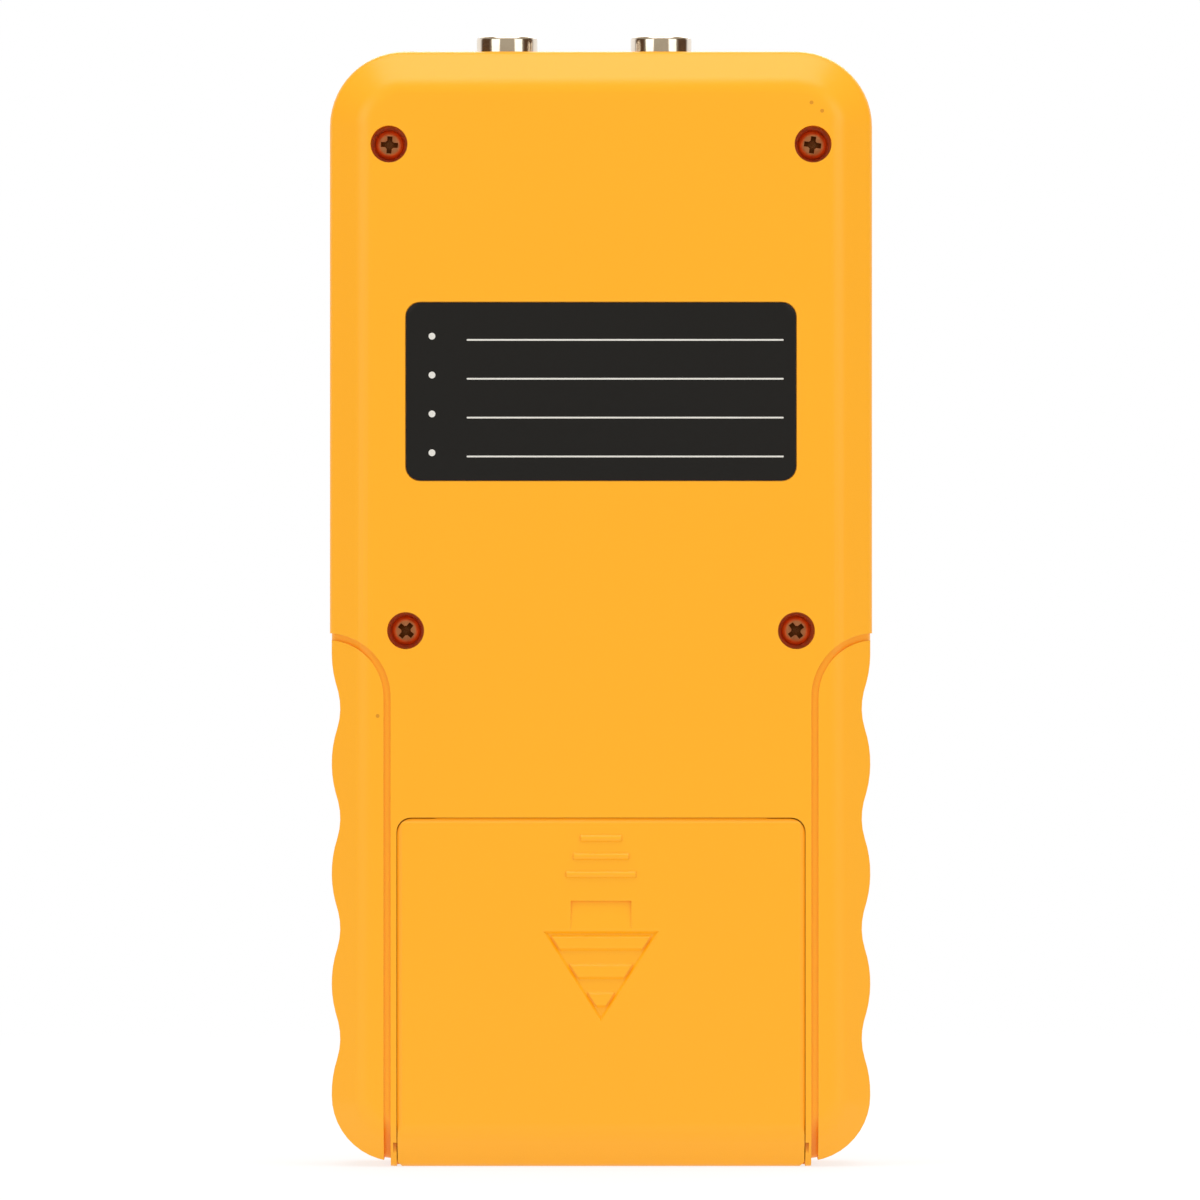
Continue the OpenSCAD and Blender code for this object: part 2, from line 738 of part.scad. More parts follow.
module battery_cover() {
    outer_x = cover_half_w - cover_chamfer;
    skin_y = back_y + seam_depth;
    color(case_yellow) difference() {
        union() {
            intersection() {
                cover_space();
                at_back() half_form(case_d);
                along_z(-past, cover_top_z + past) polygon([
                    [-cover_half_w, front_y], [-cover_half_w, skin_y], [-outer_x, back_y],
                    [outer_x, back_y], [cover_half_w, skin_y], [cover_half_w, front_y]]);
                along_x(-half_w, half_w) polygon([[front_y, -past], [back_y, -past],
                    [back_y, cover_top_z - cover_chamfer], [skin_y, cover_top_z], [front_y, cover_top_z]]);
                along_y(back_y - past, front_y) polygon([
                    [-cover_half_w, case_h], [-cover_half_w, cover_chamfer], [-outer_x, 0],
                    [outer_x, 0], [cover_half_w, cover_chamfer], [cover_half_w, case_h]]);
            }
            for (side = [0, 1]) mirror([side, 0, 0])
                translate([cover_half_w - tongue_w, tongue_y, edge_w])
                    cube([2 * tongue_w, tongue_t, tongue_top_z - edge_w]);
            translate([-latch_w / 2, latch_y, cover_top_z - latch_root])
                cube([latch_w, latch_t, latch_root + latch_l]);
            seam_steps();
            thumb_ribs();
        }
        arrow_recess();
    }
}

// Low round ribs above the arrow
module thumb_ribs() {
    rib_r = (pow(rib_t / 2, 2) + pow(rib_proud, 2)) / (2 * rib_proud);
    for (i = [0:2]) {
        width = rib_w - i * rib_step;
        intersection() {
            translate([-width / 2, back_y - rib_proud + rib_r, rib_z + i * rib_pitch])
                rotate([0, 90, 0]) cylinder(r = rib_r, h = width);
            translate([-width / 2, back_y - rib_proud - eps, rib_z + i * rib_pitch - rib_t])
                cube([width, rib_proud + cover_chamfer, 2 * rib_t]);
        }
    }
}

// The arrow's head with walls that lean by slope, drawn about the middle of its inner circle
module arrow_head(floor_y, head_z, slope) {
    half = arrow_head_w / 2;
    inner_r = half * arrow_head_h / (half + norm([half, arrow_head_h]));
    mouth_r = inner_r + slope * past / arrow_depth;
    floor_r = inner_r - slope;
    translate([0, floor_y, head_z - inner_r]) rotate([90, 0, 0])
        linear_extrude(arrow_depth + past, scale = mouth_r / floor_r) scale(floor_r / inner_r)
            polygon([[0, inner_r - arrow_head_h], [half, inner_r], [-half, inner_r]]);
}

// The pressed-in arrow, with raised bars left in its head
module arrow_recess() {
    head_z = arrow_tip_z + arrow_head_h;
    half_at = arrow_head_w / 2 / arrow_head_h;
    floor_y = back_y + arrow_depth;
    bar_margin = 0.55;
    bar_side = 0.7;
    bar_slope = 0.35;
    difference() {
        arrow_head(floor_y, head_z, bar_slope);
        for (i = [0:2]) {
            high = head_z - bar_margin - i * arrow_bar_pitch;
            low = high - arrow_bar_h;
            wide = (high - arrow_tip_z) * half_at - bar_side;
            narrow = (low - arrow_tip_z) * half_at - bar_side;
            intersection() {
                along_y(back_y - past, floor_y + past)
                    polygon([[-narrow, low], [narrow, low], [wide, high], [-wide, high]]);
                along_x(-half_w, half_w) polygon([[floor_y + past, low], [floor_y, low],
                    [back_y, low + bar_slope], [back_y - past, low + bar_slope],
                    [back_y - past, high - bar_slope], [back_y, high - bar_slope],
                    [floor_y, high], [floor_y + past, high]]);
            }
        }
    }
    along_x(-arrow_shaft_w / 2, arrow_shaft_w / 2) polygon([[back_y - past, head_z], [back_y, head_z],
        [floor_y, head_z + arrow_shaft_l], [back_y - past, head_z + arrow_shaft_l]]);
}

// Outline of the label, grown by a clearance
module label_outline(grow) {
    polygon(rounded_rect(label_w / 2 + grow, label_low - grow, label_high + grow, label_r + grow));
}

module rating_label() {
    color(label_black) along_y(label_y, label_y + label_t) label_outline(0);
}

// A pan-head screw with a cross recess, along +Y from its seat
module pan_screw(place, seat_y, head_d, head_h, d, l, spin = 0) {
    slot_w = head_d * 0.17;
    slot_l = head_d * 0.58;
    slot_core = head_d * 0.32;
    slot_depth = head_h * 0.6;
    crown = head_h * 0.45;
    head_r = head_d / 2;
    tip = d * 0.3;
    translate([place[0], seat_y, place[1]]) rotate([-90, 0, 0]) difference() {
        rotate_extrude() polygon(concat(
            [[0, l], [d / 2 - tip / 2, l], [d / 2, l - tip], [d / 2, 0], [head_r, 0]],
            [for (a = [0:15:75]) [head_r - crown * (1 - cos(a)), crown - head_h - crown * sin(a)]],
            [[head_r - crown, -head_h], [0, -head_h]]));
        for (turn = [0, 90]) rotate([0, 0, turn + spin])
            translate([-slot_l / 2, -slot_w / 2, -head_h - eps]) cube([slot_l, slot_w, slot_depth]);
        translate([0, 0, -head_h - eps]) cylinder(d = slot_core, h = slot_depth);
    }
}

module case_screws() {
    color(screw_steel) for (i = [0:len(screw_places) - 1])
        pan_screw(screw_places[i], screw_seat_y, screw_head_d, screw_head_h,
            screw_d, screw_l, screw_spins[i]);
}

module board_screws() {
    color(nickel) for (place = standoff_places)
        pan_screw(place, board_rear_y, board_screw_head_d, board_screw_head_h,
            board_screw_d, board_screw_l);
}

module transmit_socket() { socket_body(socket_xs[0]); }
module receive_socket() { socket_body(socket_xs[1]); }
module transmit_insulator() { socket_insulator(socket_xs[0]); }
module receive_insulator() { socket_insulator(socket_xs[1]); }
module transmit_contact() { socket_contact(socket_xs[0]); }
module receive_contact() { socket_contact(socket_xs[1]); }

// Threaded socket body with a flange inside the case and a stepped bore
module socket_body(x) {
    thread_r = socket_thread_d / 2;
    flange_z = socket_inner_z - socket_flange_t;
    color(nickel) translate([x, socket_y, 0]) rotate_extrude() polygon([
        [port_d / 2, port_floor_z], [port_d / 2, socket_top_z], [thread_r - socket_chamfer, socket_top_z],
        [thread_r, socket_top_z - socket_chamfer], [thread_r, socket_inner_z],
        [socket_flange_d / 2, socket_inner_z], [socket_flange_d / 2, flange_z],
        [socket_neck_d / 2, flange_z], [socket_neck_d / 2, socket_tail_z],
        [insulator_d / 2, socket_tail_z], [insulator_d / 2, port_floor_z]]);
}

// White insulator filling the narrow end of a socket
module socket_insulator(x) {
    color(ptfe_white) translate([x, socket_y, 0]) rotate_extrude() polygon([
        [socket_contact_d / 2 + eps, socket_tail_z], [insulator_d / 2 - eps, socket_tail_z],
        [insulator_d / 2 - eps, port_floor_z], [socket_contact_d / 2 + eps, port_floor_z]]);
}

// Gold centre contact: a sleeve at the port, a solder tail at the other end
module socket_contact(x) {
    color(brass_gold) translate([x, socket_y, 0]) rotate_extrude() polygon([
        [0, contact_tail_z], [contact_tail_d / 2, contact_tail_z], [contact_tail_d / 2, socket_tail_z],
        [socket_contact_d / 2, socket_tail_z], [socket_contact_d / 2, port_floor_z],
        [contact_hole_d / 2, port_floor_z], [contact_hole_d / 2, port_floor_z - contact_hole_depth],
        [0, port_floor_z - contact_hole_depth]]);
}

// Plain ring nuts with a rounded rim
module socket_nuts() {
    inner_r = socket_thread_d / 2 + eps;
    color(nickel) for (x = socket_xs) translate([x, socket_y, case_h])
        rotate_extrude() polygon(concat([[inner_r, 0], [nut_d / 2, 0]],
            arc(nut_d / 2 - nut_rim, nut_h - nut_rim, nut_rim, 0, 90, 6), [[inner_r, nut_h]]));
}

// A wire that leaves along Z, bends and meets the back of the board
module board_wire(x, y, from_z, to_z, d, bend_r) {
    run = abs(to_z - from_z) - bend_r;
    translate([x, y, from_z]) mirror([0, 0, to_z > from_z ? 0 : 1]) {
        cylinder(d = d, h = run);
        translate([0, bend_r, run]) rotate([0, -90, 0]) rotate([0, 0, -90]) rotate_extrude(angle = 90)
            translate([bend_r, 0]) circle(d = d);
        translate([0, bend_r, run + bend_r]) rotate([-90, 0, 0])
            cylinder(d = d, h = board_rear_y - y - bend_r);
    }
}

// The wire from a socket's tail to the board
module socket_lead(x) {
    color(chip_black)
        board_wire(x, socket_y, contact_tail_z, socket_lead_z, socket_lead_d, socket_lead_bend);
}

module transmit_lead() { socket_lead(socket_xs[0]); }
module receive_lead() { socket_lead(socket_xs[1]); }

module main_board() {
    color(board_green) difference() {
        translate([-board_half_w, board_rear_y, board_bottom_z])
            cube([2 * board_half_w, board_t, board_top_z - board_bottom_z]);
        for (place = screw_places) {
            edge_x = place[0] > 0 ? place[0] : place[0] - half_w;
            bar_y(place, board_notch_d, board_rear_y - past, board_front_y + past);
            translate([edge_x, board_rear_y - past, place[1] - board_notch_d / 2])
                cube([half_w, board_t + 2 * past, board_notch_d]);
        }
        for (place = standoff_places)
            bar_y(place, standoff_hole_d + seat_gap, board_rear_y - past, board_front_y + past);
    }
}

// A flat package on the back of the board, of a size [width, thickness, height]
module chip(place, size) {
    translate([place[0] - size[0] / 2, board_rear_y - size[1], place[1] - size[2] / 2]) cube(size);
}

module microcontroller() { color(chip_black) chip(controller_place, controller_size); }
module receiver_chip() { color(chip_black) chip(receiver_place, receiver_size); }
module crystal_can() { color(nickel) chip(crystal_place, crystal_size); }

module pulse_capacitors() {
    color(cell_sleeve) for (place = capacitor_places)
        bar_y(place, capacitor_d, board_rear_y - capacitor_h, board_rear_y);
}

// Outline of the display window, grown by a clearance
module window_outline(grow) {
    polygon(rounded_rect(window_w / 2 + grow, window_z - window_h / 2 - grow,
        window_z + window_h / 2 + grow, window_r + grow));
}

module display_window() { color(window_grey) along_y(ledge_y, ledge_y + window_t) window_outline(0); }

// A block centred on the display, between two depths
module display_block(w, h, from, to) {
    translate([-w / 2, from, window_z - h / 2]) cube([w, to - from, h]);
}

module lcd_frame() {
    color(chip_black) difference() {
        display_block(frame_w, frame_h, board_front_y, frame_front_y);
        display_block(glass_w + 2 * fit_gap, glass_h + 2 * fit_gap, board_front_y - past, glass_front_y);
        display_block(view_w + 2 * frame_reveal, view_h + 2 * frame_reveal,
            board_front_y - past, frame_front_y + past);
    }
}

module lcd_glass() { color(lcd_grey) display_block(glass_w, glass_h, glass_rear_y, glass_front_y); }

module backlight_panel() {
    color(ptfe_white) display_block(glass_w, backlight_h, board_front_y, glass_rear_y);
}

module lcd_connector_strips() {
    color(nickel) for (side = [-1, 1])
        translate([-view_w / 2, board_front_y, window_z + side * (glass_h - strip_t) / 2 - strip_t / 2])
            cube([view_w, backlight_t, strip_t]);
}

// Outline of a key, grown by a clearance
module key_outline(place, grow) {
    high = key_h / 2 + grow;
    translate(place) polygon(rounded_rect(key_w / 2 + grow, -high, high, key_r + grow));
}

// A key cap with a crowned top, a flange behind the front wall and a stem on its switch
module key_cap(place) {
    along_y(key_flange_y - key_flange_t, front_y + key_proud - key_crown) key_outline(place, 0);
    translate([place[0], front_y + key_proud - key_crown, place[1]]) rotate([-90, 0, 0])
        linear_extrude(key_crown, scale = 1 - 2 * key_crown / key_h)
            polygon(rounded_rect(key_w / 2, -key_h / 2, key_h / 2, key_r));
    along_y(key_flange_y - key_flange_t, key_flange_y) key_outline(place, key_flange);
    bar_y(place, key_stem_d, plunger_top_y, key_flange_y - key_flange_t / 2);
}

module power_key() { color(power_red) key_cap(key_places[0]); }
module velocity_key() { color(key_grey) key_cap(key_places[1]); }
module calibrate_key() { color(key_grey) key_cap(key_places[2]); }
module up_key() { color(key_grey) key_cap(key_places[3]); }
module down_key() { color(key_grey) key_cap(key_places[4]); }

// The plunger of one key switch, under the key's stem
module plunger(place) { bar_y(place, plunger_d, plunger_top_y - plunger_l, plunger_top_y); }

module power_plunger() { color(chip_black) plunger(key_places[0]); }
module velocity_plunger() { color(chip_black) plunger(key_places[1]); }
module calibrate_plunger() { color(chip_black) plunger(key_places[2]); }
module up_plunger() { color(chip_black) plunger(key_places[3]); }
module down_plunger() { color(chip_black) plunger(key_places[4]); }

module key_switches() {
    color(nickel) for (place = key_places) difference() {
        translate([place[0] - switch_w / 2, board_front_y, place[1] - switch_w / 2])
            cube([switch_w, switch_h, switch_w]);
        bar_y(place, plunger_d + 2 * fit_gap, plunger_top_y - plunger_l - key_travel - seat_gap, front_y);
    }
}

module reference_disc() {
    r = disc_d / 2;
    color(disc_steel) translate([0, disc_floor_y, disc_z]) rotate([-90, 0, 0]) rotate_extrude()
        polygon([[0, 0], [r, 0], [r, disc_t - disc_rim], [r - disc_rim, disc_t], [0, disc_t]]);
}

// Battery cell number i from below, its raised end to the right on the first and third
module battery_cell(i) {
    way = i % 2 == 0 ? 1 : -1;
    r = cell_d / 2;
    color(cell_sleeve) translate([way * (contact_x - fit_gap / 2), cell_y, cell_z + i * cell_pitch])
        rotate([0, way * -90, 0]) rotate_extrude() polygon([
            [0, 0], [nipple_d / 2, 0], [nipple_d / 2, nipple_h], [r - cell_rim, nipple_h],
            [r, nipple_h + cell_rim], [r, cell_l - cell_rim], [r - cell_rim, cell_l], [0, cell_l]]);
}

module battery_cell_1() { battery_cell(0); }
module battery_cell_2() { battery_cell(1); }
module battery_cell_3() { battery_cell(2); }

// Point on the conical coil of a spring that is l long, at a share of its way
function coil_point(share, l) =
    let (r = coil_wide_r + (coil_narrow_r - coil_wide_r) * share, a = 360 * coil_turns * share)
    [spring_wire / 2 + (l - spring_wire) * share, r * cos(a), r * sin(a)];

// A conical contact spring from its plate to the cell's flat end
module contact_spring(l) {
    last = coil_sides - 1;
    wire_r = spring_wire / 2;
    rings = [for (i = [0:coil_steps])
        let (here = coil_point(i / coil_steps, l), a = 360 * coil_turns * i / coil_steps)
        for (k = [0:last]) let (t = 360 * k / coil_sides)
            here + wire_r * [sin(t), cos(t) * cos(a), cos(t) * sin(a)]];
    walls = [for (i = [0:coil_steps - 1]) for (k = [0:last])
        let (n = (k + 1) % coil_sides, low = i * coil_sides, high = low + coil_sides)
        [low + k, high + k, high + n, low + n]];
    ends = [[for (k = [0:last]) k], [for (k = [last:-1:0]) coil_steps * coil_sides + k]];
    polyhedron(rings, concat(walls, ends));
}

module battery_springs() {
    room = 2 * contact_x - cell_l - fit_gap / 2;
    color(nickel) for (i = [0:cell_count - 1]) {
        way = i % 2 == 0 ? -1 : 1;
        translate([way * contact_x, cell_y, cell_z + i * cell_pitch]) mirror([way > 0 ? 1 : 0, 0, 0])
            contact_spring(room - fit_gap / 2);
    }
}

// A contact plate against the right end wall of the battery box, from one height to another
module contact_plate(from_z, to_z) {
    translate([contact_x, cell_y - contact_size / 2, from_z - contact_size / 2])
        cube([contact_t, contact_size, to_z - from_z + contact_size]);
}

module bridge_contacts() {
    color(nickel) {
        contact_plate(cell_z, cell_z + cell_pitch);
        mirror([1, 0, 0]) contact_plate(cell_z + cell_pitch, cell_z + 2 * cell_pitch);
    }
}

// A plate for one cell, with a tab that reaches out through the end wall
module terminal_contacts() {
    color(nickel) for (side = [0, 1]) mirror([side, 0, 0]) {
        contact_plate(terminal_z(side), terminal_z(side));
        translate([contact_x, tab_y, terminal_z(side) - tab_w / 2])
            cube([tab_end_x - contact_x, tab_d, tab_w]);
    }
}

// A supply wire from a terminal's tab up to the board, beside the battery box
module supply_lead(side) {
    mirror([side, 0, 0]) board_wire(supply_lead_x, tab_y + tab_d / 2, terminal_z(side) + tab_w / 2,
        board_bottom_z + supply_lead_rise, supply_lead_d, supply_lead_bend);
}

module positive_lead() { color(power_red) supply_lead(0); }
module negative_lead() { color(chip_black) supply_lead(1); }

rear_shell();
front_shell();
battery_cover();
rating_label();
case_screws();
transmit_socket();
receive_socket();
transmit_insulator();
receive_insulator();
transmit_contact();
receive_contact();
socket_nuts();
transmit_lead();
receive_lead();
main_board();
board_screws();
microcontroller();
receiver_chip();
pulse_capacitors();
crystal_can();
display_window();
lcd_frame();
lcd_glass();
backlight_panel();
lcd_connector_strips();
power_key();
velocity_key();
calibrate_key();
up_key();
down_key();
power_plunger();
velocity_plunger();
calibrate_plunger();
up_plunger();
down_plunger();
key_switches();
reference_disc();
battery_cell_1();
battery_cell_2();
battery_cell_3();
battery_springs();
bridge_contacts();
terminal_contacts();
positive_lead();
negative_lead();
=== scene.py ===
"""Looks of a hand-held ultrasonic thickness gauge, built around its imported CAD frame."""
import logging
import math
from dataclasses import dataclass, field, replace
from enum import Enum
from typing import Any, Sequence

import bmesh
import bpy
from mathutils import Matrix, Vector
from mathutils.geometry import tessellate_polygon

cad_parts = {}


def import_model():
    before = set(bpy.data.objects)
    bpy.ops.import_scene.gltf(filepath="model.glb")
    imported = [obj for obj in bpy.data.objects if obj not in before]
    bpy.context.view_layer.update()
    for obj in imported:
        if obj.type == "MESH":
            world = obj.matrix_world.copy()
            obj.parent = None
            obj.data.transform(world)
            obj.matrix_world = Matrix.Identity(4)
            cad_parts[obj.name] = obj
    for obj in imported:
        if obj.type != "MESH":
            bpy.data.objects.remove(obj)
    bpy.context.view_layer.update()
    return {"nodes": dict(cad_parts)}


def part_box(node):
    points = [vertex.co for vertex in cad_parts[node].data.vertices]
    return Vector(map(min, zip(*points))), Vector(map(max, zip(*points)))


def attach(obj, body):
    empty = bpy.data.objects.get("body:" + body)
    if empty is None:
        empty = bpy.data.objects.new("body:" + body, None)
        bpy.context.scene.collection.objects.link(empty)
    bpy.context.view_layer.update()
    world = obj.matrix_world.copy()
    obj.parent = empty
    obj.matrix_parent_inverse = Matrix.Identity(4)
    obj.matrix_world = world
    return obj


LOG = logging.getLogger("gauge")
MM = 0.001
# Corners of a CAD mesh that lie closer than this, in metres, are one corner
WELD_M = 1e-6
# Blender's wave texture repeats after this length at a scale of 1
WAVE_LENGTH = 0.314
# Sockets of Blender's Mix node where it mixes colours: three inputs and the output
SHARE, FIRST, SECOND, MIXED = 0, 6, 7, 2
Point = tuple[float, float]
Place = tuple[float, float, float]
Loop = list[Point]
Shapes = Sequence[Sequence[Loop]]
Tree = bpy.types.NodeTree
Node = bpy.types.Node
Socket = bpy.types.NodeSocket


class Body(Enum):
    """Bodies of the frame that carry added pieces."""

    CASE = "case"
    POWER = "power_button"
    VELOCITY = "velocity_button"
    CALIBRATE = "calibrate_button"
    UP = "up_button"
    DOWN = "down_button"


class Side(Enum):
    """Side of the gauge that a print is read from; the value turns its width to X."""

    BACK = 1
    FRONT = -1


class Marks(Enum):
    """Direction of the fine tool marks on a metal surface."""

    NONE = "none"
    BANDS_Z = "Z"
    RINGS_Y = "Y"


def linear(code: str) -> tuple[float, float, float, float]:
    """Turn an sRGB hex colour into linear RGBA.

    Args:
        code: Colour as "#rrggbb".

    Returns:
        The linear colour with full alpha.
    """
    parts = [int(code[i:i + 2], 16) / 255 for i in (1, 3, 5)]
    red, green, blue = [p / 12.92 if p <= 0.04045 else ((p + 0.055) / 1.055) ** 2.4
                        for p in parts]
    return red, green, blue, 1.0


def add_node(tree: Tree, kind: str, inputs: dict[Any, Any] | None = None,
             **settings: Any) -> Node:
    """Add a node with its settings, input values and links.

    Args:
        tree: Node tree that takes the node.
        kind: Blender's type name of the node.
        inputs: Values or output sockets by input name or number.
        **settings: Properties of the node.

    Returns:
        The new node.
    """
    node = tree.nodes.new(kind)
    for name, value in settings.items():
        setattr(node, name, value)
    for key, value in (inputs or {}).items():
        if isinstance(value, bpy.types.NodeSocket):
            tree.links.new(value, node.inputs[key])
        else:
            node.inputs[key].default_value = value
    return node


@dataclass(frozen=True)
class Finish:
    """A material: its name, colour and reflection, and how far its edges look rounded."""

    name: str
    colour: str
    roughness: float
    ior: float = 1.5
    metallic: float = 0.0
    round_mm: float = 0.0

    def material(self) -> bpy.types.Material:
        """Return the material, made on first use."""
        return bpy.data.materials.get(self.name) or self.make()

    def make(self) -> bpy.types.Material:
        """Make the material with its shader and pattern.

        Returns:
            The new material.
        """
        material = bpy.data.materials.new(self.name)
        material.use_nodes = True
        material.diffuse_color = linear(self.colour)
        tree = material.node_tree
        tree.nodes.clear()
        shader = add_node(tree, "ShaderNodeBsdfPrincipled", {
            "Base Color": linear(self.colour), "Roughness": self.roughness,
            "Metallic": self.metallic})
        if not self.metallic:
            shader.inputs["IOR"].default_value = self.ior
        add_node(tree, "ShaderNodeOutputMaterial", {"Surface": shader.outputs["BSDF"]})
        place = add_node(tree, "ShaderNodeTexCoord").outputs["Object"]
        self.pattern(tree, shader, place)
        return material

    def pattern(self, tree: Tree, shader: Node, place: Socket) -> None:
        """Add the finish's pattern; each kind of finish has its own."""
        raise NotImplementedError

    def relief(self, tree: Tree, shader: Node, height: Socket, depth_mm: float) -> None:
        """Add a fine relief, with the sharp edges slightly rounded to the light.

        Args:
            tree: Node tree of the material.
            shader: Its main shader.
            height: Height of the relief, from 0 to 1.
            depth_mm: Depth that the height stands for.
        """
        bump = add_node(tree, "ShaderNodeBump", {
            "Height": height, "Distance": depth_mm * MM, "Strength": 1.0})
        if self.round_mm:
            edge = add_node(tree, "ShaderNodeBevel", {"Radius": self.round_mm * MM}, samples=6)
            tree.links.new(edge.outputs[0], bump.inputs["Normal"])
        tree.links.new(bump.outputs[0], shader.inputs["Normal"])


@dataclass(frozen=True)
class MouldedPlastic(Finish):
    """Injection-moulded plastic: a fine etched grain from the mould, slow drifts of tone, and
    painted shade in hollows where set.
    """

    drift: str = "#000000"
    drift_mm: float = 35.0
    grain_mm: float = 0.4
    grain_depth_mm: float = 0.004
    gloss_swing: float = 0.06
    specks: tuple[Point, ...] = ()
    speck_mm: float = 0.26
    speck_colour: str = "#dc8b00"
    # Painted shade: colour, reach in mm and ambient-occlusion range of the deeper orange in hollows
    painted_hollow_shade: str = "#ff8c00"
    painted_shade_mm: float = 0.0
    painted_shade_open: Point = (0.15, 0.47)

    def pattern(self, tree: Tree, shader: Node, place: Socket) -> None:
        """Add the drift of tone, any specks, painted shade that deepens the tone in narrow hollows,
        and the grain.

        Args:
            tree: Node tree of the material.
            shader: Its main shader.
            place: Coordinates in metres.
        """
        drift = add_node(tree, "ShaderNodeTexNoise", {
            "Vector": place, "Scale": 1 / (self.drift_mm * MM), "Detail": 2.0})
        paint = add_node(tree, "ShaderNodeMix", {
            SHARE: drift.outputs[0], FIRST: linear(self.colour), SECOND: linear(self.drift)},
            data_type="RGBA").outputs[MIXED]
        if self.specks:
            paint = self.speckled(tree, paint, place)
        # painted shade: a deeper orange where the plastic closes in
        if self.painted_shade_mm:
            paint = self.paint_hollow_shade(tree, paint)
        tree.links.new(paint, shader.inputs["Base Color"])
        grain = add_node(tree, "ShaderNodeTexNoise", {
            "Vector": place, "Scale": 1 / (self.grain_mm * MM), "Detail": 3.0, "Roughness": 0.6})
        gloss = add_node(tree, "ShaderNodeMapRange", {
            "Value": grain.outputs[0], "To Min": self.roughness - self.gloss_swing,
            "To Max": self.roughness + self.gloss_swing})
        tree.links.new(gloss.outputs[0], shader.inputs["Roughness"])
        self.relief(tree, shader, grain.outputs[0], self.grain_depth_mm)

    def speckled(self, tree: Tree, paint: Socket, place: Socket) -> Socket:
        """Add small dark specks at their places across and up.

        Args:
            tree: Node tree of the material.
            paint: Colour without the specks.
            place: Coordinates in metres.

        Returns:
            The colour with the specks.
        """
        flat = add_node(tree, "ShaderNodeVectorMath", {0: place, 1: (1.0, 0.0, 1.0)},
                        operation="MULTIPLY")
        for across, up in self.specks:
            gap = add_node(tree, "ShaderNodeVectorMath", {
                0: flat.outputs[0], 1: (across * MM, 0.0, up * MM)}, operation="DISTANCE")
            inside = add_node(tree, "ShaderNodeMath", {
                0: gap.outputs["Value"], 1: self.speck_mm * MM}, operation="LESS_THAN")
            paint = add_node(tree, "ShaderNodeMix", {
                SHARE: inside.outputs[0], FIRST: paint, SECOND: linear(self.speck_colour)},
                data_type="RGBA").outputs[MIXED]
        return paint

    def paint_hollow_shade(self, tree: Tree, paint: Socket) -> Socket:
        """Paint shade: deepen the tone to orange where the plastic itself closes in, as in the
        screw wells, by ambient occlusion.

        Args:
            tree: Node tree of the material.
            paint: Colour of the open surface.

        Returns:
            The colour with the deeper tone in hollows.
        """
        free = add_node(tree, "ShaderNodeAmbientOcclusion", {
            "Distance": self.painted_shade_mm * MM}, samples=8, only_local=True)
        closed, open_enough = self.painted_shade_open
        bare = add_node(tree, "ShaderNodeMapRange", {
            "Value": free.outputs["AO"], "From Min": closed, "From Max": open_enough})
        return add_node(tree, "ShaderNodeMix", {
            SHARE: bare.outputs[0], FIRST: linear(self.painted_hollow_shade), SECOND: paint},
            data_type="RGBA").outputs[MIXED]


@dataclass(frozen=True)
class PlatedMetal(Finish):
    """Turned or rolled metal under plating: fine tool marks and faint clouding."""

    metallic: float = 1.0
    marks: Marks = Marks.NONE
    mark_mm: float = 0.25
    mark_depth_mm: float = 0.003
    centre: Place = (0.0, 0.0, 0.0)
    cloud: str = "#808080"
    cloud_mm: float = 3.0
    gloss_swing: float = 0.3
    # Painted shade: colour, reach in mm and ambient-occlusion range of the darkening in recesses
    painted_slot_shade: str = "#6a3a16"
    slot_shade_mm: float = 0.0
    slot_shade_open: Point = (0.55, 0.92)

    def pattern(self, tree: Tree, shader: Node, place: Socket) -> None:
        """Add the clouding, painted shade darkening its recesses, and the tool marks.

        Args:
            tree: Node tree of the material.
            shader: Its main shader.
            place: Coordinates in metres.
        """
        cloud = add_node(tree, "ShaderNodeTexNoise", {
            "Vector": place, "Scale": 1 / (self.cloud_mm * MM), "Detail": 3.0})
        share = add_node(tree, "ShaderNodeMapRange", {
            "Value": cloud.outputs[0], "From Min": 0.45, "From Max": 0.8, "To Max": 0.6})
        paint = add_node(tree, "ShaderNodeMix", {
            SHARE: share.outputs[0], FIRST: linear(self.colour), SECOND: linear(self.cloud)},
            data_type="RGBA").outputs[MIXED]
        # painted shade: darker in the recesses, such as the screws' cross slots, by ambient
        # occlusion
        if self.slot_shade_mm:
            free = add_node(tree, "ShaderNodeAmbientOcclusion", {
                "Distance": self.slot_shade_mm * MM}, samples=6, only_local=True)
            closed, open_enough = self.slot_shade_open
            unshaded_share = add_node(tree, "ShaderNodeMapRange", {
                "Value": free.outputs["AO"], "From Min": closed, "From Max": open_enough})
            paint = add_node(tree, "ShaderNodeMix", {
                SHARE: unshaded_share.outputs[0], FIRST: linear(self.painted_slot_shade), SECOND: paint},
                data_type="RGBA").outputs[MIXED]
        tree.links.new(paint, shader.inputs["Base Color"])
        gloss = add_node(tree, "ShaderNodeMapRange", {
            "Value": cloud.outputs[0], "To Min": self.roughness * (1 - self.gloss_swing),
            "To Max": self.roughness * (1 + self.gloss_swing)})
        tree.links.new(gloss.outputs[0], shader.inputs["Roughness"])
        height = cloud.outputs[0]
        if self.marks is not Marks.NONE:
            shifted = add_node(tree, "ShaderNodeVectorMath", {
                0: place, 1: [v * MM for v in self.centre]}, operation="SUBTRACT")
            kind = "RINGS" if self.marks is Marks.RINGS_Y else "BANDS"
            way = {"wave_type": kind, f"{kind.lower()}_direction": self.marks.value}
            height = add_node(tree, "ShaderNodeTexWave", {
                "Vector": shifted.outputs[0], "Scale": WAVE_LENGTH / (self.mark_mm * MM),
                "Distortion": 0.6, "Detail": 2.0}, **way).outputs[1]
        self.relief(tree, shader, height, self.mark_depth_mm)


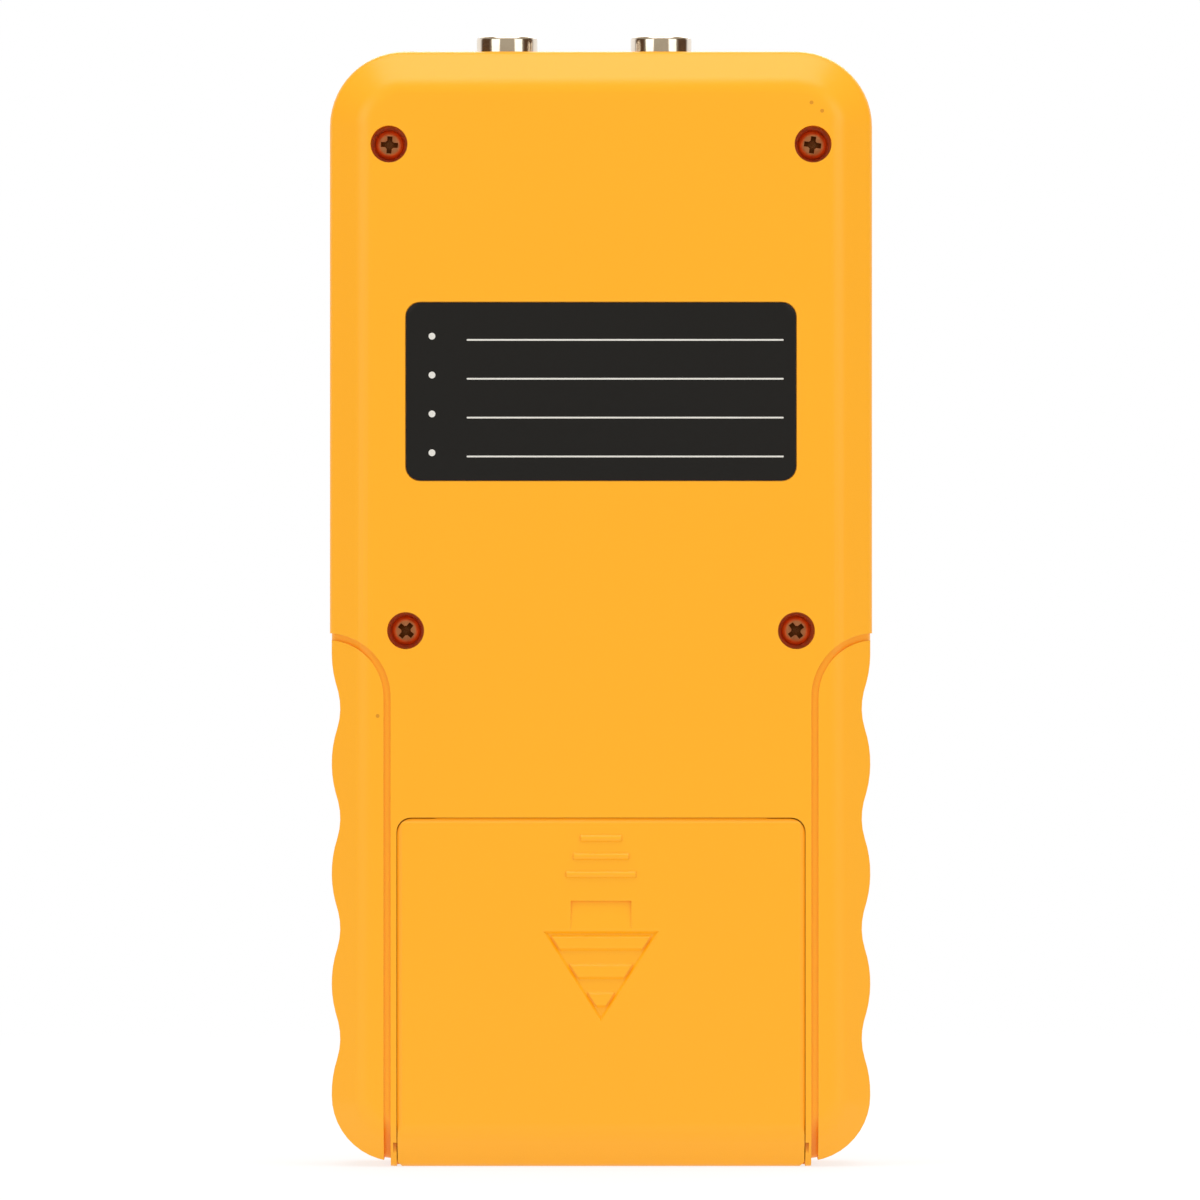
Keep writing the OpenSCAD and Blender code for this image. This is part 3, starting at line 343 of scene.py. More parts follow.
@dataclass(frozen=True)
class ClearSheet(Finish):
    """Clear polished sheet: sharp reflections over what lies behind it, and faint waviness."""

    wave_mm: float = 12.0
    wave_depth_mm: float = 0.002

    def pattern(self, tree: Tree, shader: Node, place: Socket) -> None:
        """Make the sheet clear and slightly wavy.

        Args:
            tree: Node tree of the material.
            shader: Its main shader.
            place: Coordinates in metres.
        """
        shader.inputs["Transmission Weight"].default_value = 1.0
        wave = add_node(tree, "ShaderNodeTexNoise", {
            "Vector": place, "Scale": 1 / (self.wave_mm * MM)})
        self.relief(tree, shader, wave.outputs[0], self.wave_depth_mm)


@dataclass(frozen=True)
class StripedSheet(Finish):
    """A material of fine parallel layers in two colours."""

    second: str = "#000000"
    pitch_mm: float = 1.0
    share: float = 0.5
    blur: float = 0.1

    def pattern(self, tree: Tree, shader: Node, place: Socket) -> None:
        """Add the stripes across X.

        Args:
            tree: Node tree of the material.
            shader: Its main shader.
            place: Coordinates in metres.
        """
        wave = add_node(tree, "ShaderNodeTexWave", {
            "Vector": place, "Scale": WAVE_LENGTH / (self.pitch_mm * MM)},
            bands_direction="X", wave_type="BANDS")
        edge = add_node(tree, "ShaderNodeMapRange", {
            "Value": wave.outputs[1], "From Min": self.share - self.blur,
            "From Max": self.share + self.blur})
        tone = add_node(tree, "ShaderNodeMix", {
            SHARE: edge.outputs[0], FIRST: linear(self.colour), SECOND: linear(self.second)},
            data_type="RGBA")
        tree.links.new(tone.outputs[MIXED], shader.inputs["Base Color"])


@dataclass(frozen=True)
class CircuitLaminate(Finish):
    """Glass-fibre board under green solder mask: copper tracks show as paler, raised lines."""

    track: str = "#2f8a55"
    track_mm: float = 2.4
    track_depth_mm: float = 0.02

    def pattern(self, tree: Tree, shader: Node, place: Socket) -> None:
        """Add the tracks, which run across and along the board.

        Args:
            tree: Node tree of the material.
            shader: Its main shader.
            place: Coordinates in metres.
        """
        part = add_node(tree, "ShaderNodeSeparateXYZ", {0: place})
        flat = add_node(tree, "ShaderNodeCombineXYZ", {0: part.outputs[0], 1: part.outputs[2]})
        bricks = add_node(tree, "ShaderNodeTexBrick", {
            "Vector": flat.outputs[0], "Scale": 1 / (self.track_mm * MM), "Mortar Size": 0.04,
            "Brick Width": 2.6, "Row Height": 0.5, "Mortar Smooth": 0.2}, offset=0.37, squash=1.6)
        tone = add_node(tree, "ShaderNodeMix", {
            SHARE: bricks.outputs["Fac"], FIRST: linear(self.colour), SECOND: linear(self.track)},
            data_type="RGBA")
        tree.links.new(tone.outputs[MIXED], shader.inputs["Base Color"])
        self.relief(tree, shader, bricks.outputs["Fac"], self.track_depth_mm)


@dataclass(frozen=True)
class ShrinkSleeve(Finish):
    """Printed shrink sleeve of a battery cell, with bare steel at both ends."""

    band: str = "#c9a227"
    steel: str = "#c4c4c0"
    low_x_mm: float = -22.0
    high_x_mm: float = 22.0
    band_mm: float = 9.0
    raised_end: int = 1

    def pattern(self, tree: Tree, shader: Node, place: Socket) -> None:
        """Add the coloured band and the bare ends.

        Args:
            tree: Node tree of the material.
            shader: Its main shader.
            place: Coordinates in metres.
        """
        along = add_node(tree, "ShaderNodeSeparateXYZ", {0: place}).outputs[0]
        if self.raised_end > 0:
            band_at, band_test = self.high_x_mm - self.band_mm, "GREATER_THAN"
        else:
            band_at, band_test = self.low_x_mm + self.band_mm, "LESS_THAN"
        band = add_node(tree, "ShaderNodeMath", {0: along, 1: band_at * MM}, operation=band_test)
        sleeve = add_node(tree, "ShaderNodeMix", {
            SHARE: band.outputs[0], FIRST: linear(self.colour), SECOND: linear(self.band)},
            data_type="RGBA")
        above = add_node(tree, "ShaderNodeMath", {0: along, 1: self.high_x_mm * MM},
                         operation="GREATER_THAN")
        below = add_node(tree, "ShaderNodeMath", {0: along, 1: self.low_x_mm * MM},
                         operation="LESS_THAN")
        bare = add_node(tree, "ShaderNodeMath", {0: above.outputs[0], 1: below.outputs[0]},
                        operation="MAXIMUM")
        tone = add_node(tree, "ShaderNodeMix", {
            SHARE: bare.outputs[0], FIRST: sleeve.outputs[MIXED], SECOND: linear(self.steel)},
            data_type="RGBA")
        tree.links.new(tone.outputs[MIXED], shader.inputs["Base Color"])
        tree.links.new(bare.outputs[0], shader.inputs["Metallic"])


# ABS with a fine etched grain: satin, deep yellow, a soft sheen where it turns to the light,
# and painted shade, a deeper orange in screw wells; the grain is drawn coarser than the real 0.1 mm
CASE_ABS = MouldedPlastic(
    "abs_moulded_yellow", "#fdae02", 0.36, 1.53, drift="#fcab01", grain_mm=0.45, round_mm=0.07,
    painted_shade_mm=5.0, specks=((27.9, 141.1), (29.3, 140.0), (-29.6, 59.8)))
# The same ABS without specks and with its painted shade, for the front shell and the battery cover
FRONT_ABS = replace(CASE_ABS, name="abs_moulded_yellow_front", specks=())
# Polyester label film printed solid black: flat and matt, with a very fine tooth
LABEL_FILM = MouldedPlastic(
    "polyester_film_black", "#0a0909", 0.42, 1.5, drift="#0e0d0d", grain_mm=0.3,
    grain_depth_mm=0.002)
# Bright nickel on turned brass: warm mirror bands with turning lines
NICKEL = PlatedMetal(
    "nickel_plate_turned", "#ece0d0", 0.12, marks=Marks.BANDS_Z, mark_mm=0.22,
    mark_depth_mm=0.0003, cloud="#dccdb8", round_mm=0.1)
# Nickel on rolled strip and wire: plain and a little duller
NICKEL_STRIP = PlatedMetal("nickel_plate_rolled", "#d6cdbf", 0.22, cloud="#b9ae9e")
# Zinc-plated steel screws; their dull copper-brown tone is a painted reflection of the orange
# well walls, and their cross slots get painted shade
SCREW_ZINC = PlatedMetal(
    "zinc_plated_steel", "#f4b888", 0.32, cloud="#b87850", cloud_mm=1.2, mark_depth_mm=0.01,
    round_mm=0.06, slot_shade_mm=1.4)
# Hard gold plate on the centre contacts: a soft yellow mirror
GOLD = PlatedMetal("gold_plate", "#e2b65a", 0.18, cloud="#cf9f45")
# Turned and polished steel of the reference disc, with rings left by the lathe
DISC_STEEL = PlatedMetal(
    "steel_turned_polished", "#c3c6c8", 0.24, marks=Marks.RINGS_Y, mark_mm=0.45,
    mark_depth_mm=0.004, centre=(0.0, 0.0, 24.0), cloud="#b9bdbf", cloud_mm=14.0)
# Drawn aluminium can of the capacitors: pale and evenly dull
CAN_ALUMINIUM = PlatedMetal("aluminium_drawn_can", "#c9c9c6", 0.3, cloud="#b0b0ac")
# Turned PTFE of the insulators: waxy white
PTFE = MouldedPlastic(
    "ptfe_turned", "#f0f0ea", 0.5, 1.35, drift="#e6e6de", drift_mm=3.0, grain_mm=0.2)
# PVC wire sleeve: soft, slightly shiny
SLEEVE_BLACK = MouldedPlastic(
    "pvc_sleeve_black", "#232324", 0.45, 1.54, drift="#2a2a2c", drift_mm=4.0)
SLEEVE_RED = replace(SLEEVE_BLACK, name="pvc_sleeve_red", colour="#b52a20", drift="#a8261d")
# Epoxy of the chips: matt black, slightly grainy
CHIP_EPOXY = MouldedPlastic(
    "epoxy_moulded_black", "#2a2a2c", 0.6, 1.55, drift="#323234", drift_mm=2.0, grain_mm=0.12,
    grain_depth_mm=0.006)
# Black nylon of the display frame, the switches and the plungers: dull, with a faint grain
NYLON_BLACK = MouldedPlastic(
    "nylon_moulded_black", "#303032", 0.5, 1.53, drift="#38383a", drift_mm=6.0)
# White polycarbonate diffuser behind the display: milky and even
DIFFUSER = MouldedPlastic(
    "polycarbonate_diffuser_white", "#eef1ec", 0.5, 1.58, drift="#e4e8e2", drift_mm=9.0)
# Silicone of the keys: velvety and matt, with softly rounded edges
KEY_GREY = MouldedPlastic(
    "silicone_moulded_grey", "#4a4d50", 0.62, 1.42, drift="#45484b", drift_mm=5.0,
    grain_mm=0.25, grain_depth_mm=0.006, round_mm=0.4)
KEY_RED = replace(KEY_GREY, name="silicone_moulded_red", colour="#c8402a", drift="#bd3a26")
# Screen-printed ink of the label's rows, the key marks and the window's border: flat and dull
INK_WHITE = MouldedPlastic(
    "screen_ink_white", "#dedbd3", 0.55, 1.5, drift="#d6d2c9", drift_mm=2.0, grain_mm=0.15)
INK_DARK = MouldedPlastic(
    "screen_ink_charcoal", "#2b3032", 0.5, 1.5, drift="#303638", drift_mm=8.0, grain_mm=0.2,
    grain_depth_mm=0.001)
# Acrylic window, polished on both faces: clear, with sharp reflections
ACRYLIC = ClearSheet("acrylic_polished", "#f4f8f6", 0.03, 1.49)
# Reflective display glass: flat grey green under a smooth polariser
LCD_FILM = MouldedPlastic(
    "lcd_polariser_grey_green", "#98a58c", 0.28, 1.52, drift="#929f87", drift_mm=18.0,
    grain_mm=0.3, grain_depth_mm=0.0002)
# Dark and resting segments of the display: as smooth as the glass
SEGMENT_DARK = MouldedPlastic(
    "lcd_segment_dark", "#22281f", 0.3, 1.52, drift="#262c23", drift_mm=6.0,
    grain_depth_mm=0.0002)
SEGMENT_REST = replace(
    SEGMENT_DARK, name="lcd_segment_resting", colour="#8d9a82", drift="#8a977f")
# Layered rubber strips between glass and board; the layers are drawn coarser than the real 0.1 mm
ZEBRA = StripedSheet(
    "elastomer_layered", "#8d8f90", 0.6, 1.42, second="#3a3b3c", pitch_mm=0.5)
# Green solder mask over copper tracks: shiny, with paler lines
BOARD = CircuitLaminate("laminate_solder_mask_green", "#1b5f38", 0.35, 1.5)
# PVC shrink sleeve of the cells: shiny slate with a gold band; each cell sets its own ends
CELL_SLEEVE = ShrinkSleeve("pvc_shrink_sleeve", "#3c4652", 0.3, 1.54)


def outline_arc(cx: float, cz: float, radius: float, start: float, end: float,
                steps: int) -> Loop:
    """Return points on an arc.

    Args:
        cx: Centre across.
        cz: Centre up.
        radius: Radius.
        start: First angle in degrees.
        end: Last angle in degrees.
        steps: Number of chords.

    Returns:
        The points, both ends included.
    """
    turns = [math.radians(start + (end - start) * i / steps) for i in range(steps + 1)]
    return [(cx + radius * math.cos(t), cz + radius * math.sin(t)) for t in turns]


def circle_loop(cx: float, cz: float, radius: float, corners: int) -> Loop:
    """Return a circle with a number of corners.

    Args:
        cx: Centre across.
        cz: Centre up.
        radius: Radius.
        corners: Number of corners.

    Returns:
        The closed outline, counter-clockwise.
    """
    return outline_arc(cx, cz, radius, 0, 360 - 360 / corners, corners - 1)


def rounded_loop(low: Point, high: Point, radius: float, steps: int = 6) -> Loop:
    """Return a rectangle with round corners.

    Args:
        low: Lower corner.
        high: Upper corner.
        radius: Corner radius.
        steps: Chords in each corner.

    Returns:
        The closed outline, counter-clockwise.
    """
    x0, z0, x1, z1 = low[0] + radius, low[1] + radius, high[0] - radius, high[1] - radius
    corners = ((x1, z1, 0), (x0, z1, 90), (x0, z0, 180), (x1, z0, 270))
    return [p for x, z, a in corners for p in outline_arc(x, z, radius, a, a + 90, steps)]


def band_loop(cx: float, cz: float, radius: float, width: float, start: float, end: float,
              steps: int = 28) -> Loop:
    """Return a bent band between two angles.

    Args:
        cx: Centre across.
        cz: Centre up.
        radius: Radius of the band's middle.
        width: Width of the band.
        start: First angle in degrees.
        end: Last angle in degrees.
        steps: Chords along the band.

    Returns:
        The closed outline.
    """
    outer = outline_arc(cx, cz, radius + width / 2, start, end, steps)
    inner = outline_arc(cx, cz, radius - width / 2, end, start, steps)
    return outer + inner


def plate(name: str, shapes: Shapes, low_y: float, high_y: float) -> bpy.types.Object:
    """Build flat plates that lie across Y.

    Args:
        name: Name of the piece.
        shapes: Outlines in X and Z, each with its holes after it.
        low_y: Depth of the back faces.
        high_y: Depth of the front faces.

    Returns:
        The new piece, linked to the scene.
    """
    points: list[Place] = []
    faces: list[tuple[int, ...]] = []
    for loops in shapes:
        flat = [[Vector((x, 0.0, z)) for x, z in loop] for loop in loops]
        corners = [p for loop in flat for p in loop]
        base, count = len(points), len(corners)
        points += [(p.x, low_y, p.z) for p in corners] + [(p.x, high_y, p.z) for p in corners]
        for tri in tessellate_polygon(flat):
            faces.append(tuple(base + count + i for i in tri))
            faces.append(tuple(base + i for i in reversed(tri)))
        first = base
        for loop in flat:
            ring = [(first + i, first + (i + 1) % len(loop)) for i in range(len(loop))]
            faces += [(a, b, b + count, a + count) for a, b in ring]
            first += len(loop)
    mesh = bpy.data.meshes.new(name)
    mesh.from_pydata(points, [], faces)
    solid = bmesh.new()
    solid.from_mesh(mesh)
    bmesh.ops.recalc_face_normals(solid, faces=solid.faces)
    solid.to_mesh(mesh)
    solid.free()
    piece = bpy.data.objects.new(name, mesh)
    bpy.context.scene.collection.objects.link(piece)
    return piece


def set_on(side: Side, shapes: Shapes, x: float, z: float) -> list[list[Loop]]:
    """Set outlines, drawn in millimetres as they are read, on a place of one side.

    Args:
        side: Side that they are read from.
        shapes: Outlines with their holes, across to the right and up.
        x: Place across, in metres.
        z: Place up, in metres.

    Returns:
        The outlines in X and Z, in metres.
    """
    way = side.value * MM
    return [[[(x + u * way, z + v * MM) for u, v in loop] for loop in loops] for loops in shapes]


@dataclass
class Model:
    """The loaded frame, and the ways to dress its nodes and add pieces."""

    nodes: dict[str, bpy.types.Object]

    def dress(self, name: str, finish: Finish, edge_mm: float = 0.12, slope: float = 32.0) -> None:
        """Give a CAD node its finish, with smooth curves and softened edges.

        Args:
            name: Name of the node.
            finish: Finish of its surface.
            edge_mm: Width of the softened edges, 0 to leave them sharp.
            slope: Smallest angle in degrees between faces that counts as an edge.
        """
        piece = self.nodes[name]
        piece.data.materials.clear()
        piece.data.materials.append(finish.material())
        if "custom_normal" in piece.data.attributes:
            piece.data.attributes.remove(piece.data.attributes["custom_normal"])
        piece.data.shade_smooth()
        piece.modifiers.new("join_corners", "WELD").merge_threshold = WELD_M
        if not edge_mm:
            split = piece.modifiers.new("sharp_edges", "EDGE_SPLIT")
            split.split_angle = math.radians(slope)
        else:
            edge = piece.modifiers.new("soft_edges", "BEVEL")
            edge.width = edge_mm * MM
            edge.segments = 2
            edge.limit_method = "ANGLE"
            edge.angle_limit = math.radians(slope)
            edge.use_clamp_overlap = False
            edge.miter_outer = "MITER_ARC"
        piece.modifiers.new("even_normals", "WEIGHTED_NORMAL")
        LOG.info("dressed %s in %s", name, finish.name)

    def add(self, piece: bpy.types.Object, finish: Finish, body: Body, slot: str) -> None:
        """Finish a new piece and let it ride on a body.

        Args:
            piece: The new piece.
            finish: Finish of its surface.
            body: Body that carries it.
            slot: Material slot of the record; not used.
        """
        piece.data.materials.append(finish.material())
        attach(piece, body.value)
        LOG.info("added %s in %s on %s", piece.name, finish.name, body.value)


@dataclass
class Case:
    """The two shells, the battery cover, the label and the case screws."""

    model: Model
    cover_slope: float = 20.0
    label_edge_mm: float = 0.06
    rows: int = 4
    row_mm: float = 5.15
    rule_mm: Point = (42.0, 0.22)
    rule_at_mm: Point = (3.2, -1.0)
    rule_round: float = 0.4
    dot_mm: float = 0.9
    dot_at_mm: Point = (-22.4, -0.4)
    ink_proud_mm: float = 0.015
    ink_sunk_mm: float = 0.01

    def build(self) -> None:
        """Dress the outer mouldings and what is fixed to them."""
        self.model.dress("rear_shell", CASE_ABS, 0.0)
        self.model.dress("front_shell", FRONT_ABS, 0.0)
        self.model.dress("battery_cover", FRONT_ABS, 0.0, self.cover_slope)
        self.model.dress("rating_label", LABEL_FILM, self.label_edge_mm)
        self.model.dress("case_screws", SCREW_ZINC, 0.0)
        self.add_label_rules()

    def add_label_rules(self) -> None:
        """Print blank rows on the label: a dot and a thin rule for each."""
        low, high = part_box("rating_label")
        x, z = (low[0] + high[0]) / 2, (low[2] + high[2]) / 2
        length, thick = self.rule_mm
        middle, drop = self.rule_at_mm
        shapes: list[list[Loop]] = []
        for row in range(self.rows):
            up = ((self.rows - 1) / 2 - row) * self.row_mm
            rule = rounded_loop((middle - length / 2, up + drop),
                                (middle + length / 2, up + drop + thick),
                                thick * self.rule_round, 2)
            dot = circle_loop(self.dot_at_mm[0], up + self.dot_at_mm[1], self.dot_mm / 2, 24)
            shapes += [[rule], [dot]]
        rules = plate("label_rules", set_on(Side.BACK, shapes, x, z),
                      low[1] - self.ink_proud_mm * MM, low[1] + self.ink_sunk_mm * MM)
        self.model.add(rules, INK_WHITE, Body.CASE, "label_film")


@dataclass
class ProbeSockets:
    """The two coaxial sockets at the top with their nuts and leads."""

    model: Model
    sides: tuple[str, ...] = ("transmit", "receive")

    def build(self) -> None:
        """Dress the metal, the insulators and the leads."""
        self.model.dress("socket_nuts", NICKEL, 0.0)
        for side in self.sides:
            self.model.dress(f"{side}_socket", NICKEL, 0.0)
            self.model.dress(f"{side}_insulator", PTFE, 0.06)
            self.model.dress(f"{side}_contact", GOLD, 0.05)
            self.model.dress(f"{side}_lead", SLEEVE_BLACK, 0.0)


@dataclass
class Electronics:
    """The board and what is soldered or screwed to it."""

    model: Model

    def build(self) -> None:
        """Dress the board and its parts."""
        self.model.dress("main_board", BOARD, 0.05)
        self.model.dress("board_screws", SCREW_ZINC, 0.0)
        self.model.dress("microcontroller", CHIP_EPOXY, 0.1)
        self.model.dress("receiver_chip", CHIP_EPOXY, 0.1)
        self.model.dress("pulse_capacitors", CAN_ALUMINIUM, 0.2)
        self.model.dress("crystal_can", NICKEL_STRIP, 0.3)
        self.model.dress("key_switches", NYLON_BLACK, 0.1)


@dataclass
class Display:
    """The window, its printed border, the display glass and its reading."""

    model: Model
    border_mm: float = 3.2
    border_inset_mm: float = 0.15
    border_round_mm: Point = (2.3, 1.2)
    print_mm: float = 0.04
    print_gap_mm: float = 0.02
    reading: str = " 5.00"
    digit_mm: Point = (7.6, 15.0)
    pitch_mm: float = 10.4
    stroke_mm: float = 1.5
    joint_mm: float = 0.12
    slant: float = 0.08
    point_mm: float = 0.8
    segment_mm: float = 0.02
    parts: dict[str, tuple[str, ...]] = field(default_factory=lambda: {
        " ": (), "0": tuple("abcdef"), "5": tuple("acdfg")})

    def build(self) -> None:
        """Dress the display's nodes and add the border and the reading."""
        self.model.dress("display_window", ACRYLIC, 0.1)
        self.model.dress("lcd_frame", NYLON_BLACK, 0.1)
        self.model.dress("lcd_glass", LCD_FILM, 0.08)
        self.model.dress("backlight_panel", DIFFUSER, 0.08)
        self.model.dress("lcd_connector_strips", ZEBRA, 0.05)
        self.add_border()
        self.add_reading()

    def add_border(self) -> None:
        """Add the printed border at the rear of the window."""
        low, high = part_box("display_window")
        loops: list[Loop] = []
        for inset_mm, round_mm in zip((self.border_inset_mm, self.border_mm), self.border_round_mm):
            inset = inset_mm * MM
            loops.append(rounded_loop((low[0] + inset, low[2] + inset),
                                      (high[0] - inset, high[2] - inset), round_mm * MM))
        rear = low[1] + self.print_gap_mm * MM
        border = plate("window_border_print", [loops], rear, rear + self.print_mm * MM)
        self.model.add(border, INK_DARK, Body.CASE, "window_plastic")

    def segment(self, letter: str, left: float) -> Loop:
        """Return one segment of a digit, in millimetres from the middle of the glass.

        Args:
            letter: Segment letter, a to g.
            left: Left side of the digit.

        Returns:
            Its pointed outline.
        """
        wide, tall = self.digit_mm
        half = self.stroke_mm / 2
        near, far, low, high = half, wide - half, half - tall / 2, tall / 2 - half
        ends = {"a": (near, high, far, high), "g": (near, 0.0, far, 0.0),
                "d": (near, low, far, low), "f": (near, 0.0, near, high),
                "b": (far, 0.0, far, high), "e": (near, low, near, 0.0),
                "c": (far, low, far, 0.0)}[letter]
        start, end = Vector(ends[:2]), Vector(ends[2:])
        way = (end - start).normalized()
        side = Vector((-way.y, way.x)) * half
        start, end = start + way * self.joint_mm, end - way * self.joint_mm
        shape = [start, start + way * half - side, end - way * half - side, end,
                 end - way * half + side, start + way * half + side]
        return [(left + p.x + p.y * self.slant, p.y) for p in shape]

    def add_reading(self) -> None:
        """Add the digits of the reading, dark where they show and faint where they rest."""
        low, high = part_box("lcd_glass")
        x, z, front = (low[0] + high[0]) / 2, (low[2] + high[2]) / 2, high[1]
        wide, tall = self.digit_mm
        digits = [mark for mark in self.reading if mark != "."]
        left = -(self.pitch_mm * (len(digits) - 1) + wide) / 2
        dark: list[list[Loop]] = []
        rest: list[list[Loop]] = []
        for mark in self.reading:
            if mark == ".":
                across = left - (self.pitch_mm - wide) / 2
                dark.append([circle_loop(across, self.point_mm - tall / 2, self.point_mm, 18)])
                continue
            for letter in "abcdefg":
                chosen = dark if letter in self.parts[mark] else rest
                chosen.append([self.segment(letter, left)])
            left += self.pitch_mm
        for name, shapes, finish in (("reading_shown", dark, SEGMENT_DARK),
                                     ("reading_resting", rest, SEGMENT_REST)):
            piece = plate(name, set_on(Side.FRONT, shapes, x, z),
                          front, front + self.segment_mm * MM)
            self.model.add(piece, finish, Body.CASE, "lcd_glass")


@dataclass
class Keypad:
    """The five keys with their printed marks, and the plungers under them."""

    model: Model
    keys: tuple[tuple[str, Body, Finish], ...] = (
        ("power", Body.POWER, KEY_RED), ("velocity", Body.VELOCITY, KEY_GREY),
        ("calibrate", Body.CALIBRATE, KEY_GREY), ("up", Body.UP, KEY_GREY),
        ("down", Body.DOWN, KEY_GREY))
    stroke_mm: float = 0.5
    ink_sunk_mm: float = 0.1
    ink_proud_mm: float = 0.01
    power_ring_mm: float = 1.5
    power_ring_turn: Point = (125, 415)
    power_bar_mm: Point = (-0.1, 1.9)
    bar_round: float = 0.45
    wave_mm: tuple[float, ...] = (1.4, 2.7, 4.0)
    wave_source_mm: float = -2.7
    wave_turn: Point = (-42, 42)
    target_ring_mm: float = 1.7
    target_dot_mm: float = 0.6
    arrow_half_mm: float = 2.1
    arrow_tip_mm: float = 1.7
    arrow_foot_mm: float = 1.3

    def build(self) -> None:
        """Dress the keys and plungers and print each key's mark."""
        for name, body, finish in self.keys:
            self.model.dress(f"{name}_key", finish, 0.0)
            self.model.dress(f"{name}_plunger", NYLON_BLACK, 0.1)
            low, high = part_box(f"{name}_key")
            shapes = set_on(Side.FRONT, self.mark(name),
                            (low[0] + high[0]) / 2, (low[2] + high[2]) / 2)
            mark = plate(f"{name}_key_mark", shapes,
                         high[1] - self.ink_sunk_mm * MM, high[1] + self.ink_proud_mm * MM)
            slot = "power_key_rubber" if body is Body.POWER else "key_rubber"
            self.model.add(mark, INK_WHITE, body, slot)

    def mark(self, name: str) -> list[list[Loop]]:
        """Return the outlines of a key's mark, in millimetres from the key's middle.

        Args:
            name: Name of the key.

        Returns:
            Outlines with their holes.
        """
        line = self.stroke_mm
        if name == "power":
            foot, top = self.power_bar_mm
            bar = rounded_loop((-line / 2, foot), (line / 2, top), line * self.bar_round, 3)
            ring = band_loop(0.0, foot, self.power_ring_mm, line, *self.power_ring_turn)
            return [[ring], [bar]]
        if name == "velocity":
            return [[band_loop(self.wave_source_mm, 0.0, radius, line, *self.wave_turn)]
                    for radius in self.wave_mm]
        if name == "calibrate":
            edges = [circle_loop(0.0, 0.0, self.target_ring_mm + side * line / 2, 36)
                     for side in (1, -1)]
            return [edges, [circle_loop(0.0, 0.0, self.target_dot_mm, 24)]]
        way = 1 if name == "up" else -1
        half, tip, foot = self.arrow_half_mm, self.arrow_tip_mm * way, -self.arrow_foot_mm * way
        return [[[(0.0, tip), (-half, foot), (half, foot)]]]


@dataclass
class ReferenceDisc:
    """The steel disc in the front, on which the gauge is set to zero."""

    model: Model

    def build(self) -> None:
        """Dress the disc."""
        self.model.dress("reference_disc", DISC_STEEL, 0.1)


@dataclass
class BatteryBay:
    """Three cells with their springs, contacts and supply leads."""

    model: Model
    raised_ends: tuple[int, ...] = (1, -1, 1)
    flat_mm: float = 0.05
    raised_mm: float = 0.85

    def build(self) -> None:
        """Dress the cells and the contacts."""
        for number, way in enumerate(self.raised_ends, start=1):
            low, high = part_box(f"battery_cell_{number}")
            ends = (self.flat_mm, self.raised_mm)[::way]
            sleeve = replace(
                CELL_SLEEVE, name=f"{CELL_SLEEVE.name}_{number}", raised_end=way,
                low_x_mm=low[0] / MM + ends[0], high_x_mm=high[0] / MM - ends[1])
            self.model.dress(f"battery_cell_{number}", sleeve, 0.1)
        self.model.dress("battery_springs", NICKEL_STRIP, 0.0)
        self.model.dress("bridge_contacts", NICKEL_STRIP, 0.06)
        self.model.dress("terminal_contacts", NICKEL_STRIP, 0.06)
        self.model.dress("positive_lead", SLEEVE_RED, 0.0)
        self.model.dress("negative_lead", SLEEVE_BLACK, 0.0)


@dataclass(frozen=True)
class Softbox:
    """A soft rectangular lamp, in metres and watts."""

    name: str
    place: Place
    size: Point
    watts: float
    aim: Place = (0.0, 0.0, 0.075)

    def build(self) -> None:
        """Hang the lamp and turn it to its aim."""
        lamp = bpy.data.lights.new(self.name, "AREA")
        lamp.shape = "RECTANGLE"
        lamp.size, lamp.size_y = self.size
        lamp.energy = self.watts
        holder = bpy.data.objects.new(self.name, lamp)
        holder.location = self.place
        way = Vector(self.aim) - Vector(self.place)
        holder.rotation_euler = way.to_track_quat("-Z", "Y").to_euler()
        holder.visible_camera = False
        bpy.context.scene.collection.objects.link(holder)
        LOG.info("lamp %s", self.name)


